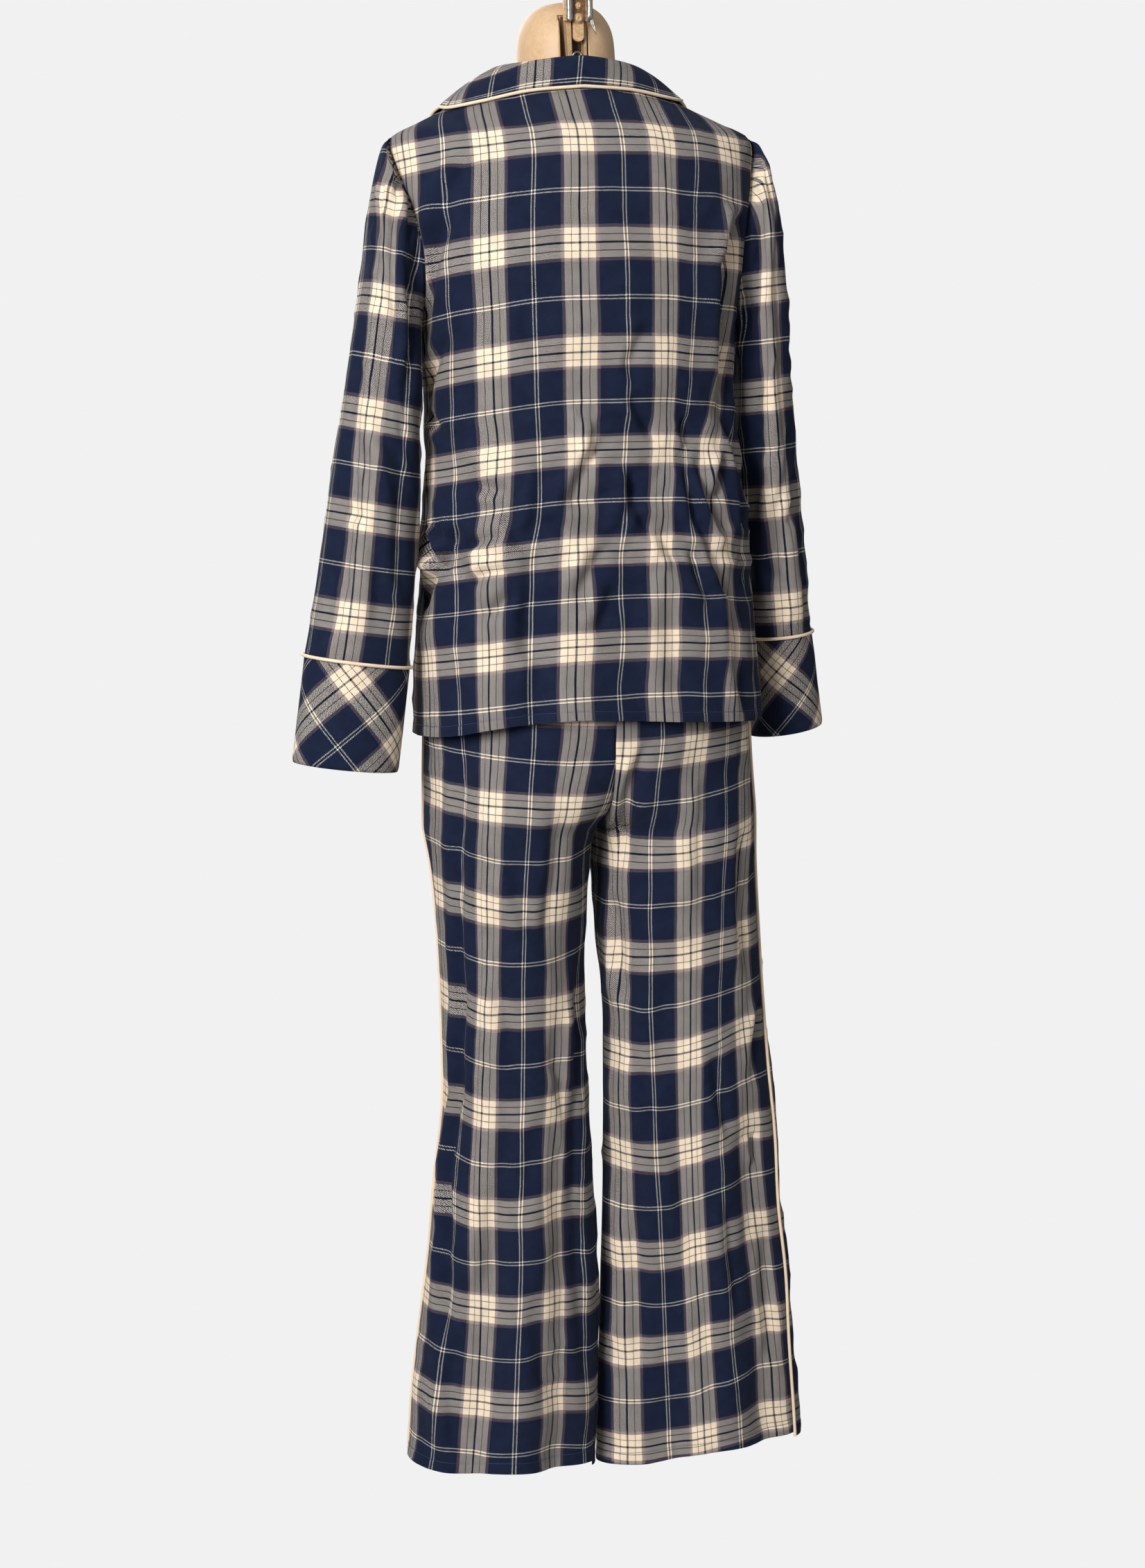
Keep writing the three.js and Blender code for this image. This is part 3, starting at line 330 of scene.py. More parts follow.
def lapelPoints(side, u, v):
    U, V = np.meshgrid(u, v)
    height = lerp(jacketSizes["lapelBreak"] + lapel["startAbove"], jacketSizes["gorge"], V)
    width = lerp(lapel["tipAngle"], lapel["widthAngle"], V**0.85)
    across = U if side > 0 else 1 - U
    angle = frontEdgeAngle(height) - lapel["gapAngle"] - across * width
    turned = -angle if side > 0 else angle - 180
    lift = lapel["lift"] + lapel["roll"] * np.sin(np.pi * across)
    if side < 0:
        lift = lift + lapLift(turned)
    return offBody(turned, height, lift)


legHeights = {
    1: [20, 110, 188, 265, 342, 418, 500, 600, 670, 713, 725, 742, 770, 800, 835, 880, 930, 985],
    -1: [14, 50, 129, 208, 286, 363, 440, 516, 600, 670, 713, 725, 742, 770, 800, 835, 880, 930, 985],
}
legs = {
    1: {
        "height": legHeights[1],
        "centre": [115, 107.5, 101, 95, 92, 88, 88, 88, 87.5, 87.5, 80, 64, 36, 12, 0, 0, 0, 0],
        "halfWidth": [102, 101, 96, 90, 84, 77, 75, 76, 81, 87.3, 94.8, 110.5, 138, 161, 171, 165, 155, 143],
        "halfDepth": [66, 66, 68, 71, 74, 77, 82, 90, 97, 102, 104, 107, 111, 114, 115, 111, 102, 93],
        "middle": [6, 5, 4, 3, 2, 1, 0, -1, -2, -3, -3, -3, -4, -4, -4, -4, -4, -4],
    },
    -1: {
        "height": legHeights[-1],
        "centre": [111, 110, 109, 108.5, 105.5, 104.5, 101, 98, 92.5, 89, 87.5, 80, 64, 36, 12, 0, 0, 0, 0],
        "halfWidth": [116, 115, 110, 106, 99.5, 96, 91, 87, 86.5, 86, 87.3, 94.8, 110.5, 138, 161, 171, 165,
                      155, 143],
        "halfDepth": [52, 52, 54, 56, 60, 64, 69, 76, 88, 97, 102, 104, 107, 111, 114, 115, 111, 102, 93],
        "middle": [-5, -5, -4, -3, -2, -1, 0, 0, -1, -2, -3, -3, -3, -4, -4, -4, -4, -4, -4],
    },
}
legTwists = {
    "height": [0, 600, 713, 800, 985],
    "side1": [-13, -12, -11, -10, 0], "side-1": [28, 27, 24, 19, 4],
    "inner1": [20, 16, 0, 0, 0], "inner-1": [-8, -6, 0, 0, 0],
}
legFolds = {
    1: [(62, 10, 560, 10, 11, 15), (92, 0, 420, 10, -6, 14), (122, -6, 640, 10, 9, 13),
        (250, 8, 600, 10, 10, 15), (292, -6, 480, 10, 9, 14)],
    -1: [(66, 6, 600, 10, 8, 13), (97, 4, 430, 10, -6, 13), (128, -8, 520, 10, 9, 14),
         (245, 6, 520, 10, 8, 14), (288, -6, 620, 10, 9, 14)],
}
trousers = {"crotch": 713, "top": 985, "bandBlend": 895, "bandHeight": 28, "cloth": 1.0, "hemDepth": 14,
            "grid": 3.6}
formInsets = {
    "height": [764, 770, 782, 805, 860, 920, 984, 999, 1014, 1115, 1180, 1240, 1290, 1340, 1375,
               1400, 1415, 1430, 1445, 1458, 1468],
    "inset": [92, 70, 54, 42, 34, 31, 30, 30, 30, 27, 24, 20, 16, 12, 8, 5, 3.6, 3.2, 3.2, 3.8, 7],
}


def bandPoint(angle, height, ease=0.0):
    return offBody(angle, height, ease - columnAt(formInsets, "inset", height) + 3.2)


def legPoint(side, angle, height):
    angle, height = np.broadcast_arrays(np.asarray(angle, float), np.asarray(height, float))
    table = legs[side]
    a = np.radians(angle)
    fold = sum(foldDepth(row, angle, height, 20) for row in legFolds[side])
    x = side * columnAt(table, "centre", height) + (columnAt(table, "halfWidth", height) - fold) * np.cos(a)
    y = columnAt(table, "middle", height) + (columnAt(table, "halfDepth", height) - fold) * np.sin(a)
    point = np.stack([x, y, height], -1)
    blend = smooth((height - trousers["bandBlend"]) / (trousers["top"] - trousers["bandBlend"]))
    band = bandPoint(angle, np.minimum(height, trousers["top"]), 1.6)
    return lerp(point, band, blend[..., None])


def seamTurn(side, seam, height):
    return columnAt(legTwists, seam + str(side), height)


def innerAngle(side, height, back):
    turn = seamTurn(side, "inner", height)
    below = 180 + np.where(back, -turn, turn)
    table = legs[side]
    centre = columnAt(table, "centre", height)
    ratio = np.clip(-centre / columnAt(table, "halfWidth", height), -1, 1)
    return np.where(height <= trousers["crotch"], below, np.degrees(np.arccos(ratio)))


def gridFaces(rows, columns, countU, start=0):
    i, j = np.meshgrid(np.arange(rows), np.arange(columns), indexing="ij")
    a = start + i * countU + j
    b = start + i * countU + (j + 1) % countU
    return np.stack([a, b, b + countU, a + countU], -1).reshape(-1, 4)


def clothShell(name, points, uv, thickness, wrap=False):
    # points: rows upwards, columns so that the outside faces the viewer from the left to the right
    countV, countU = points.shape[:2]
    columns = countU if wrap else countU - 1
    rows = countV - 1
    inner = points - gridNormals(points, wrap) * thickness
    total = countV * countU
    outerFaces = gridFaces(rows, columns, countU)
    innerFaces = gridFaces(rows, columns, countU, total)[:, ::-1]
    j = np.arange(columns)
    a, b = j, (j + 1) % countU
    top = rows * countU
    edges = [np.stack([b, a, total + a, total + b], -1),
             np.stack([top + a, top + b, total + top + b, total + top + a], -1)]
    columnPairs = [np.stack([j + 1, j, j, j + 1], -1), np.stack([j, j + 1, j + 1, j], -1)]
    rowPairs = [np.zeros_like(edges[0]), np.full_like(edges[1], rows)]
    if not wrap:
        i = np.arange(rows)
        a, b = i * countU, (i + 1) * countU
        c, d = a + columns, b + columns
        edges += [np.stack([a, b, total + b, total + a], -1), np.stack([d, c, total + c, total + d], -1)]
        columnPairs += [np.zeros_like(edges[2]), np.full_like(edges[3], columns)]
        rowPairs += [np.stack([i, i + 1, i + 1, i], -1), np.stack([i + 1, i, i, i + 1], -1)]
    i, j = np.meshgrid(np.arange(rows), np.arange(columns), indexing="ij")
    cornerU = np.stack([j, j + 1, j + 1, j], -1).reshape(-1, 4)
    cornerV = np.stack([i, i, i + 1, i + 1], -1).reshape(-1, 4)
    allU = np.concatenate([cornerU, cornerU[:, ::-1], *columnPairs])
    allV = np.concatenate([cornerV, cornerV[:, ::-1], *rowPairs])
    faces = np.concatenate([outerFaces, innerFaces, *edges])
    vertices = toFrame(np.concatenate([points.reshape(-1, 3), inner.reshape(-1, 3)]))
    return meshObject(name, vertices, faces, uv[allV, allU] * 0.001)


def linked(name, mesh):
    piece = bpy.data.objects.new(name, mesh)
    bpy.context.collection.objects.link(piece)
    return piece


def fromMaker(name, maker):
    mesh = bpy.data.meshes.new(name + "_mesh")
    maker.to_mesh(mesh)
    maker.free()
    return linked(name, mesh)


def meshObject(name, vertices, faces, corners=None):
    mesh = bpy.data.meshes.new(name + "_cloth")
    mesh.from_pydata(vertices.tolist(), [], [list(map(int, face)) for face in faces])
    if corners is not None:
        layer = mesh.uv_layers.new(name="cloth")
        layer.data.foreach_set("uv", corners.reshape(-1).astype(np.float32))
    mesh.shade_smooth()
    mesh.validate()
    return linked(name, mesh)


def spacing(length, step, hem=0.0):
    # even steps along a length, with closer ones in the hem
    plain = np.linspace(0, 1, max(3, int(round(length / step)) + 1))
    if not hem:
        return plain
    near = np.array([0, 0.8, 2, 4, hem * 0.5, hem - 3, hem - 2, hem - 1.2, hem - 0.5, hem + 0.4, hem + 1.6,
                     hem + 3])
    return np.concatenate([near / length, plain[plain > (hem + 4) / length]])


def arcAcross(points, grainX=None, axis=None):
    # distance round the cloth from its grain line, for each row; an axis takes out the rise along it
    move = np.diff(points, axis=1)
    if axis is not None:
        move = move - (move @ axis)[..., None] * axis
    step = np.linalg.norm(move, axis=-1)
    arc = np.concatenate([np.zeros((len(points), 1)), np.cumsum(step, 1)], 1)
    if grainX is None:
        return arc - arc[:, -1:] / 2
    start = np.empty(len(points))
    for i, row in enumerate(points):
        order = np.argsort(row[:, 0])
        start[i] = np.interp(grainX[i], row[order, 0], arc[i, order])
    return arc - start[:, None]


def arcAlong(points):
    step = np.linalg.norm(np.diff(points, axis=0), axis=-1)
    return np.concatenate([np.zeros((1, points.shape[1])), np.cumsum(step, 0)], 0)


hemStitch = {"below": 1.6, "proud": 0.15}


def hemProfile(distance, depth):
    # the doubled hem stands out, and its stitching draws it in
    doubled = 0.7 * smooth((depth + 0.4 - distance) / 1.8)
    return doubled - 0.8 * np.exp(-(((distance - depth + hemStitch["below"]) / 0.9) ** 2))


def seamProfile(distance, width=1.8, depth=0.6):
    # a groove at the seam, and a low ridge of the allowance beside it
    ridge = 0.35 * depth * np.exp(-(((distance - 2.2 * width) / width) ** 2))
    return ridge - depth * np.exp(-((distance / width) ** 2))


def linear(*rgb):
    return tuple(((c / 255 + 0.055) / 1.055) ** 2.4 if c > 10 else c / 255 / 12.92 for c in rgb) + (1.0,)


class Nodes:
    def __init__(self, tree):
        self.tree = tree

    def add(self, kind, inputs=None, **settings):
        node = self.tree.nodes.new(kind)
        for key, value in settings.items():
            setattr(node, key, value)
        for key, value in (inputs or {}).items():
            socket = node.inputs[key]
            if isinstance(value, bpy.types.NodeSocket):
                self.tree.links.new(value, socket)
            else:
                socket.default_value = value
        return node

    def math(self, operation, a, b=0.0, c=0.0, clamp=False):
        node = self.add("ShaderNodeMath", {0: a, 1: b, 2: c}, operation=operation, use_clamp=clamp)
        return node.outputs[0]

    def around(self, value, gain, middle, clamp=False):
        # a value from 0 to 1, spread about a middle
        return self.math("MULTIPLY_ADD", self.math("SUBTRACT", value, 0.5), gain, middle, clamp=clamp)

    def mix(self, factor, a, b, blend="MIX"):
        node = self.add("ShaderNodeMix", data_type="RGBA", blend_type=blend)
        for key, value in ((0, factor), (6, a), (7, b)):
            if isinstance(value, bpy.types.NodeSocket):
                self.tree.links.new(value, node.inputs[key])
            else:
                node.inputs[key].default_value = value
        return node.outputs[2]

    def ramp(self, factor, stops, interpolation="LINEAR"):
        node = self.add("ShaderNodeValToRGB", {0: factor})
        node.color_ramp.interpolation = interpolation
        marks = node.color_ramp.elements
        while len(marks) < len(stops):
            marks.new(0.5)
        for mark, (place, colour) in zip(marks, stops):
            mark.position = place
            mark.color = colour
        return node.outputs[0]

    def noise(self, vector, scale, detail=2.0, roughness=0.5):
        node = self.add("ShaderNodeTexNoise", {"Vector": vector, "Scale": scale, "Detail": detail,
                                               "Roughness": roughness})
        return node.outputs[0]


def newGroup(name, inputs, outputs):
    group = bpy.data.node_groups.new(name, "ShaderNodeTree")
    for label, kind, value in inputs:
        socket = group.interface.new_socket(label, in_out="INPUT", socket_type=kind)
        if value is not None:
            socket.default_value = value
    for label, kind in outputs:
        group.interface.new_socket(label, in_out="OUTPUT", socket_type=kind)
    nodes = Nodes(group)
    return group, nodes, nodes.add("NodeGroupInput"), nodes.add("NodeGroupOutput")


tartan = {
    "warpRepeat": 0.0890, "weftRepeat": 0.1040, "twill": 0.0019, "darker": 0.45,
    "navy": linear(20, 30, 54), "dark": linear(13, 18, 33), "cream": linear(242, 229, 212),
    "mauve": linear(118, 100, 104), "white": linear(244, 238, 224),
    # half a repeat from the middle line outwards, in millimetres
    "warp": [(0, "dark"), (0.9, "cream"), (7.7, "dark"), (8.5, "cream"), (15.0, "mauve"), (18.2, "navy"),
             (42.2, "white"), (43.4, "navy")],
    "weft": [(0, "dark"), (0.9, "cream"), (7.5, "dark"), (8.3, "cream"), (14.4, "mauve"), (17.6, "navy"),
             (49.7, "white"), (50.9, "navy")],
}


# The yarns: how far they wander, their fuzz and twill, and the nap over them. Single words are scales
# of the noise, and shifts are in metres.
yarn = {
    "wobble": 900, "wobbleShift": 0.0009, "drift": 14, "driftShift": 0.0020,
    "fuzz": 1050, "fuzzLift": 2.3, "twillLift": 0.27, "crossing": 2.0,
    "warmth": (1.0, 0.93, 0.83, 1), "warmGain": 1.25,
    "fibres": 2600, "patches": 60, "haze": 0.02, "hazeColour": linear(206, 200, 196),
    "shade": [(0.3, (0.90, 0.90, 0.90, 1)), (0.7, (1.08, 1.08, 1.08, 1))],
    "roughness": 0.84, "fuzzRoughness": 0.12, "fibreHeight": 0.5, "yarnHeight": 0.8,
    "bump": 0.5, "bumpDepth": 0.0005,
}


def buildTartan():
    group, nodes, source, sink = newGroup(
        "tartanFlannel",
        [("Vector", "NodeSocketVector", None), ("Warp repeat", "NodeSocketFloat", tartan["warpRepeat"]),
         ("Weft repeat", "NodeSocketFloat", tartan["weftRepeat"]),
         ("Twill", "NodeSocketFloat", tartan["twill"])],
        [("Color", "NodeSocketColor"), ("Roughness", "NodeSocketFloat"), ("Height", "NodeSocketFloat")],
    )
    vector = source.outputs[0]
    wobble = nodes.noise(vector, yarn["wobble"], 2)
    drift = nodes.noise(vector, yarn["drift"], 2)
    split = nodes.add("ShaderNodeSeparateXYZ", {0: vector})
    colours = []
    halves = (tartan["warpRepeat"] / 2, tartan["weftRepeat"] / 2)
    for axis, name, half in ((0, "warp", halves[0]), (1, "weft", halves[1])):
        place = nodes.around(wobble, yarn["wobbleShift"], split.outputs[axis])
        place = nodes.around(drift, yarn["driftShift"], place)
        turned = nodes.math("DIVIDE", place, source.outputs[1 + axis])
        share = nodes.math("PINGPONG", turned, 0.5)
        stops = [(mm * 0.001 / half, tartan[colour]) for mm, colour in tartan[name]]
        colours.append(nodes.ramp(nodes.math("MULTIPLY", share, 2.0), stops, "CONSTANT"))
    diagonal = nodes.math("DIVIDE", nodes.math("ADD", split.outputs[0], split.outputs[1]), source.outputs[3])
    wave = nodes.math("SINE", nodes.math("MULTIPLY", diagonal, 2 * math.pi))
    fuzz = nodes.noise(vector, yarn["fuzz"], 2, 0.7)
    lift = nodes.around(fuzz, yarn["fuzzLift"], nodes.math("MULTIPLY_ADD", wave, yarn["twillLift"], 0.5))
    mask = nodes.around(lift, yarn["crossing"], 0.5, clamp=True)
    woven = nodes.mix(mask, colours[0], colours[1])
    darker = nodes.mix(1.0, colours[0], colours[1], "DARKEN")
    woven = nodes.mix(tartan["darker"], woven, darker)
    # where both yarns are pale the cloth is warmer
    pale = nodes.add("ShaderNodeRGBToBW", {0: darker}).outputs[0]
    warm = nodes.mix(1.0, woven, yarn["warmth"], "MULTIPLY")
    woven = nodes.mix(nodes.math("MULTIPLY", pale, yarn["warmGain"], clamp=True), woven, warm)
    # nap: pale fibres over the surface, uneven, and a slow change of shade
    fibres = nodes.noise(vector, yarn["fibres"], 1, 0.6)
    patches = nodes.noise(vector, yarn["patches"], 3, 0.6)
    haze = nodes.math("MULTIPLY", nodes.math("MULTIPLY", fibres, patches), yarn["haze"])
    woven = nodes.mix(haze, woven, yarn["hazeColour"])
    woven = nodes.mix(1.0, woven, nodes.ramp(patches, yarn["shade"]), "MULTIPLY")
    rough = nodes.math("MULTIPLY_ADD", fuzz, yarn["fuzzRoughness"], yarn["roughness"])
    height = nodes.math("MULTIPLY_ADD", fibres, yarn["fibreHeight"],
                        nodes.math("MULTIPLY", mask, yarn["yarnHeight"]))
    for key, value in ((0, woven), (1, rough), (2, height)):
        nodes.tree.links.new(value, sink.inputs[key])
    return group


def material(name, build, **constants):
    made = bpy.data.materials.new(name)
    made.use_nodes = True
    nodes = Nodes(made.node_tree)
    shader = made.node_tree.nodes["Principled BSDF"]
    for key, value in constants.items():
        shader.inputs[key].default_value = value
    build(nodes, shader)
    return made


def bump(nodes, shader, height, strength, distance):
    node = nodes.add("ShaderNodeBump", {"Height": height, "Strength": strength, "Distance": distance})
    nodes.tree.links.new(node.outputs[0], shader.inputs["Normal"])


def flannelNodes(turn):
    def build(nodes, shader):
        uv = nodes.add("ShaderNodeUVMap", uv_map="cloth").outputs[0]
        vector = uv
        if turn:
            vector = nodes.add("ShaderNodeMapping", {"Vector": uv, "Rotation": (0, 0, turn)}).outputs[0]
        cloth = nodes.add("ShaderNodeGroup")
        cloth.node_tree = tartanGroup
        for key, value in (("Warp repeat", tartan["warpRepeat"]), ("Weft repeat", tartan["weftRepeat"]),
                           ("Twill", tartan["twill"])):
            cloth.inputs[key].default_value = value
        nodes.tree.links.new(vector, cloth.inputs[0])
        nodes.tree.links.new(cloth.outputs["Color"], shader.inputs["Base Color"])
        nodes.tree.links.new(cloth.outputs["Roughness"], shader.inputs["Roughness"])
        bump(nodes, shader, cloth.outputs["Height"], yarn["bump"], yarn["bumpDepth"])
    return build


tartanGroup = buildTartan()
clothShine = {"Sheen Weight": 0.03, "Sheen Roughness": 0.5, "Sheen Tint": (0.9, 0.92, 1, 1),
              "Specular IOR Level": 0.08}
flannel = material("brushedFlannel", flannelNodes(0), **clothShine)
flannelBias = material("brushedFlannelBias", flannelNodes(math.radians(45)), **clothShine)


# The grain of a plain surface: fine noise, the share of its scale that the broad noise has, and the
# two places on a ramp between which colour and roughness change.
grain = {"detail": 4.0, "fineness": 0.55, "broad": 0.06, "ramp": (0.3, 0.7), "bump": 0.35}


def grainRoughness(nodes, shader, value, roughness):
    stops = [(place, (level,) * 3 + (1,)) for place, level in zip(grain["ramp"], roughness)]
    nodes.tree.links.new(nodes.ramp(value, stops), shader.inputs["Roughness"])


def plain(name, colours, scale, roughness, bumpDepth, stretch=(1, 1, 1), **constants):
    # two colours, the grain's scale, roughness from and to, and the depth of the bumps
    def build(nodes, shader):
        place = nodes.add("ShaderNodeTexCoord").outputs["Object"]
        place = nodes.add("ShaderNodeMapping", {"Vector": place, "Scale": stretch}).outputs[0]
        value = nodes.noise(place, scale, grain["detail"], grain["fineness"])
        broad = nodes.noise(place, scale * grain["broad"], 2, 0.5)
        both = nodes.math("MULTIPLY_ADD", broad, 0.5, nodes.math("MULTIPLY", value, 0.5))
        colour = nodes.ramp(both, [(at, linear(*rgb)) for at, rgb in zip(grain["ramp"], colours)])
        nodes.tree.links.new(colour, shader.inputs["Base Color"])
        grainRoughness(nodes, shader, value, roughness)
        bump(nodes, shader, value, grain["bump"], bumpDepth)
    return material(name, build, **constants)


# The strap's paint: tan at its edges and tongue; between the rods the dark brown is painted shade for the
# shadow there, with a ragged edge.
strapLook = {
    "scale": 500, "ragged": 0.0016, "halfPaintedShade": 0.0076, "raggedEnd": 0.002, "paintedShadeEnd": -0.1035,
    "tan": [(0.3, linear(176, 138, 96)), (0.6, linear(214, 176, 130))],
    "dark": [(0.3, linear(70, 46, 28)), (0.62, linear(128, 90, 58))],
    "roughness": (0.38, 0.62), "bumpDepth": 0.0002,
}


def strapNodes(nodes, shader):
    place = nodes.add("ShaderNodeTexCoord").outputs["Object"]
    split = nodes.add("ShaderNodeSeparateXYZ", {0: place})
    wear = nodes.noise(place, strapLook["scale"], 4, 0.6)
    edge = nodes.around(wear, strapLook["ragged"], nodes.math("ABSOLUTE", split.outputs[0]))
    end = nodes.math("MULTIPLY_ADD", wear, strapLook["raggedEnd"], split.outputs[2])
    # painted shade: the dark ramp fills the strap's middle between the rods, above the tongue, where their
    # shadow falls
    inside = nodes.math("LESS_THAN", edge, strapLook["halfPaintedShade"])
    above = nodes.math("GREATER_THAN", end, strapLook["paintedShadeEnd"])
    tan, dark = (nodes.ramp(wear, strapLook[shade]) for shade in ("tan", "dark"))
    colour = nodes.mix(nodes.math("MULTIPLY", inside, above), tan, dark)
    nodes.tree.links.new(colour, shader.inputs["Base Color"])
    grainRoughness(nodes, shader, wear, strapLook["roughness"])
    bump(nodes, shader, wear, grain["bump"], strapLook["bumpDepth"])


pipingCotton = plain("pipingCotton", [(232, 204, 172), (246, 224, 196)], 1500, (0.5, 0.7), 0.0003,
                     **{"Sheen Weight": 0.2, "Specular IOR Level": 0.35})
thread = plain("sewingThread", [(30, 40, 66), (48, 58, 88)], 2200, (0.55, 0.75), 0.0002)
threadCream = plain("buttonThread", [(214, 194, 164), (236, 218, 190)], 2200, (0.55, 0.75), 0.0002)
buttonResin = plain("buttonResin", [(222, 208, 184), (240, 230, 212)], 160, (0.22, 0.34), 0.00005,
                    **{"Coat Weight": 0.3, "Coat Roughness": 0.2})
formSkin = plain("mouldedForm", [(200, 164, 124), (218, 186, 150)], 240, (0.42, 0.56), 0.0002,
                 **{"Specular IOR Level": 0.4})
bracketPaint = plain("bracketPaint", [(160, 128, 92), (212, 178, 134)], 300, (0.35, 0.55), 0.0002)
dulledSteel = plain("dulledSteel", [(120, 116, 108), (196, 194, 188)], 420, (0.24, 0.46), 0.0001,
                    stretch=(1, 1, 0.12), Metallic=0.9)
# tan paint with painted shade between the rods
strapPaintAndShade = material("strapPaintAndShade", strapNodes)
# painted shade: the dark brown stands in for the shadow in the recess of the neck's slot
slotShade = plain("slotPaintedShade", [(58, 42, 30), (84, 62, 44)], 300, (0.6, 0.8), 0.0002)
print("materials built")


def finishPiece(piece, look, node):
    piece.data.materials.clear()
    piece.data.materials.append(look)
    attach(piece, "root")
    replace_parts(piece, node)
    return piece


def sheet(points, wrap=False):
    # the cut of what shows, on the outer face: the width of a wide row and the length of a middling column,
    # worked out and not kept
    closed = np.concatenate([points, points[:, :1]], 1) if wrap else points
    width = np.linalg.norm(np.diff(closed, axis=1), axis=-1).sum(1)
    length = np.linalg.norm(np.diff(closed, axis=0), axis=-1).sum(0)
    width, length = float(np.percentile(width, 92)), float(np.median(length))


# Where the check falls on the back: each pale row's height in the middle, how far it drops towards
# the sides, the grain line's x by height, and the distance of every line of the warp from it.
backCheck = {
    "angles": [0, 28, 50, 66, 80, 110, 120, 135, 147, 180],
    "drop": [21, 14, 8, 3, 0, 0, 3, 5, 9, 14],
    "middle": [(0, 1408), (104, 1304), (208, 1198), (312, 1102), (416, 1002), (520, 909)],
    "nominal": [-133.5, -89, -44.5, 0, 44.5, 89, 133.5, 178],
    "columns": [
        (1475, 18, -133.5, -89, -44.5, 0, 44.5, 89, 133.5, 178),
        (1408, 18, -133, -87, -43, 2, 47, 92, 131, 180),
        (1330, 27, -132, -85, -42, 4, 50, 95, 128, 184), (1258, 31, -131, -83, -41, 6, 53, 97, 127, 187),
        (1150, 33, -130, -80, -38, 6, 53, 96, 121, 165), (1098, 33, -130, -78, -37, 5, 50, 94, 117, 143),
        (1040, 34, -126, -83, -38, 1, 48, 91, 119, 152), (1000, 35, -131, -88, -45, -1, 45, 88, 123, 161),
        (955, 36, -129, -89, -47, -2, 45, 91, 133, 170), (900, 38, -127, -90, -49, -3, 46, 91, 138, 176),
        (850, 39, -125, -92, -51, -5, 41, 88, 135, 170), (815, 39, -125, -92, -51, -5, 41, 88, 135, 170),
    ],
}
warpHalf = 44.5
weftStep = 104.0
frontGrain = 30.0
backCheck["rows"] = [
    (value, *[level - drop for drop in backCheck["drop"]]) for value, level in backCheck["middle"]
]


def warpAt(across, heights, check):
    # the check's place across the cloth, from where its lines lie on each row
    table = np.array(check["columns"], float)[::-1]
    nominal = np.array(check["nominal"], float)
    beyond = 400
    values = np.concatenate([[nominal[0] - beyond], nominal, [nominal[-1] + beyond]])
    columns = [{"height": table[:, 0], "line": table[:, 2 + k]} for k in range(len(nominal))]
    lines = [columnAt(column, "line", heights) for column in columns]
    lines = np.stack([lines[0] - beyond, *lines, lines[-1] + beyond], 1)
    return np.array([np.interp(across[i], lines[i], values) for i in range(len(heights))])


def weftAt(angle, height, check):
    # the check's place up the cloth, from the height of each row at a few angles
    rows = check["rows"]
    levels = [columnAt({"height": check["angles"], "level": row[1:]}, "level", angle) for row in rows]
    value = rows[0][0] + levels[0] - height
    for k in range(len(rows) - 1):
        share = (levels[k] - height) / (levels[k] - levels[k + 1])
        value = np.where(share > 0, lerp(rows[k][0], rows[k + 1][0], share), value)
    return -np.where(height < levels[-1], rows[-1][0] + levels[-1] - height, value)


def grainAt(heights, check):
    table = np.array(check["columns"], float)[::-1]
    return columnAt({"height": table[:, 0], "x": table[:, 1]}, "x", heights)


# Creases of the jacket's back: both ends in x and height, width, depth, bow.
backCreases = [
    (-22, 1154, -48, 1116, 6, 2.8, 2), (10, 1131, 16, 1095, 6, 2.6, 2), (1, 1117, 43, 1047, 7, 2.6, 4),
    (-23, 1078, -7, 1021, 7, 2.4, -4), (-23, 1081, -39, 1017, 7, 3.0, 4), (-52, 1022, -67, 991, 8, 2.6, 3),
    (160, 1034, 148, 1010, 6, 3.2, 2), (166, 1033, 157, 985, 7, 4.2, 3), (144, 1029, 156, 988, 6, 3.6, -2),
    (157, 988, 173, 945, 7, 3.8, 3), (99, 1046, 88, 1005, 7, 2.8, 3), (66, 1091, 85, 1007, 8, 2.4, -4),
    (146, 999, 105, 1021, 6, 2.8, -3), (104, 986, 135, 972, 6, 2.4, 3), (131, 939, 97, 966, 7, 2.4, 3),
    (-82, 1131, -86, 1104, 6, 2.4, 2), (-81, 1087, -101, 1014, 7, 3.4, 4),
    (-95, 1087, -127, 1010, 7, 3.6, 4),
    (-126, 1094, -117, 1050, 6, 2.8, 3), (-134, 1127, -149, 1020, 8, 3.2, -3),
    (-87, 1001, -101, 951, 7, 2.4, 3),
    (-101, 1020, -136, 942, 8, 3.0, 4), (77, 1004, 87, 898, 11, 2.8, 3), (101, 988, 116, 934, 9, 2.6, -3),
    (8, 1005, 36, 954, 8, 2.6, 4), (0, 969, 20, 923, 9, 2.4, -3), (51, 1053, -14, 1062, 7, 2.0, 3),
    (46, 1020, 67, 1037, 6, 2.2, 2), (84, 1237, 64, 1191, 8, 1.8, 3), (-43, 1224, -25, 1187, 8, 1.6, 2),
    (-19, 1195, -30, 1168, 6, 1.6, 2), (128, 1070, 103, 1065, 6, 2.4, 2), (29, 1145, 10, 1128, 6, 2.0, 2),
    (160, 1145, 153, 1123, 6, 2.6, 2), (-158, 1335, -136, 1282, 11, 4.6, 4),
    (-136, 1290, -133, 1150, 12, 4.6, 3),
    (73, 900, 82, 830, 12, 2.4, 3), (-133, 950, -145, 835, 12, 2.8, 3), (140, 1340, 162, 1235, 10, 4.0, 5),
    (120, 1390, 165, 1290, 9, 2.6, 4), (150, 1215, 160, 1150, 8, 2.6, 3), (-60, 960, -66, 850, 13, 2.2, 3),
]
hemline = {"angle": [0, 30, 57, 80, 95, 142, 180], "rise": [0, 5, 16, 21, 17, 7, 0], "reach": 240}


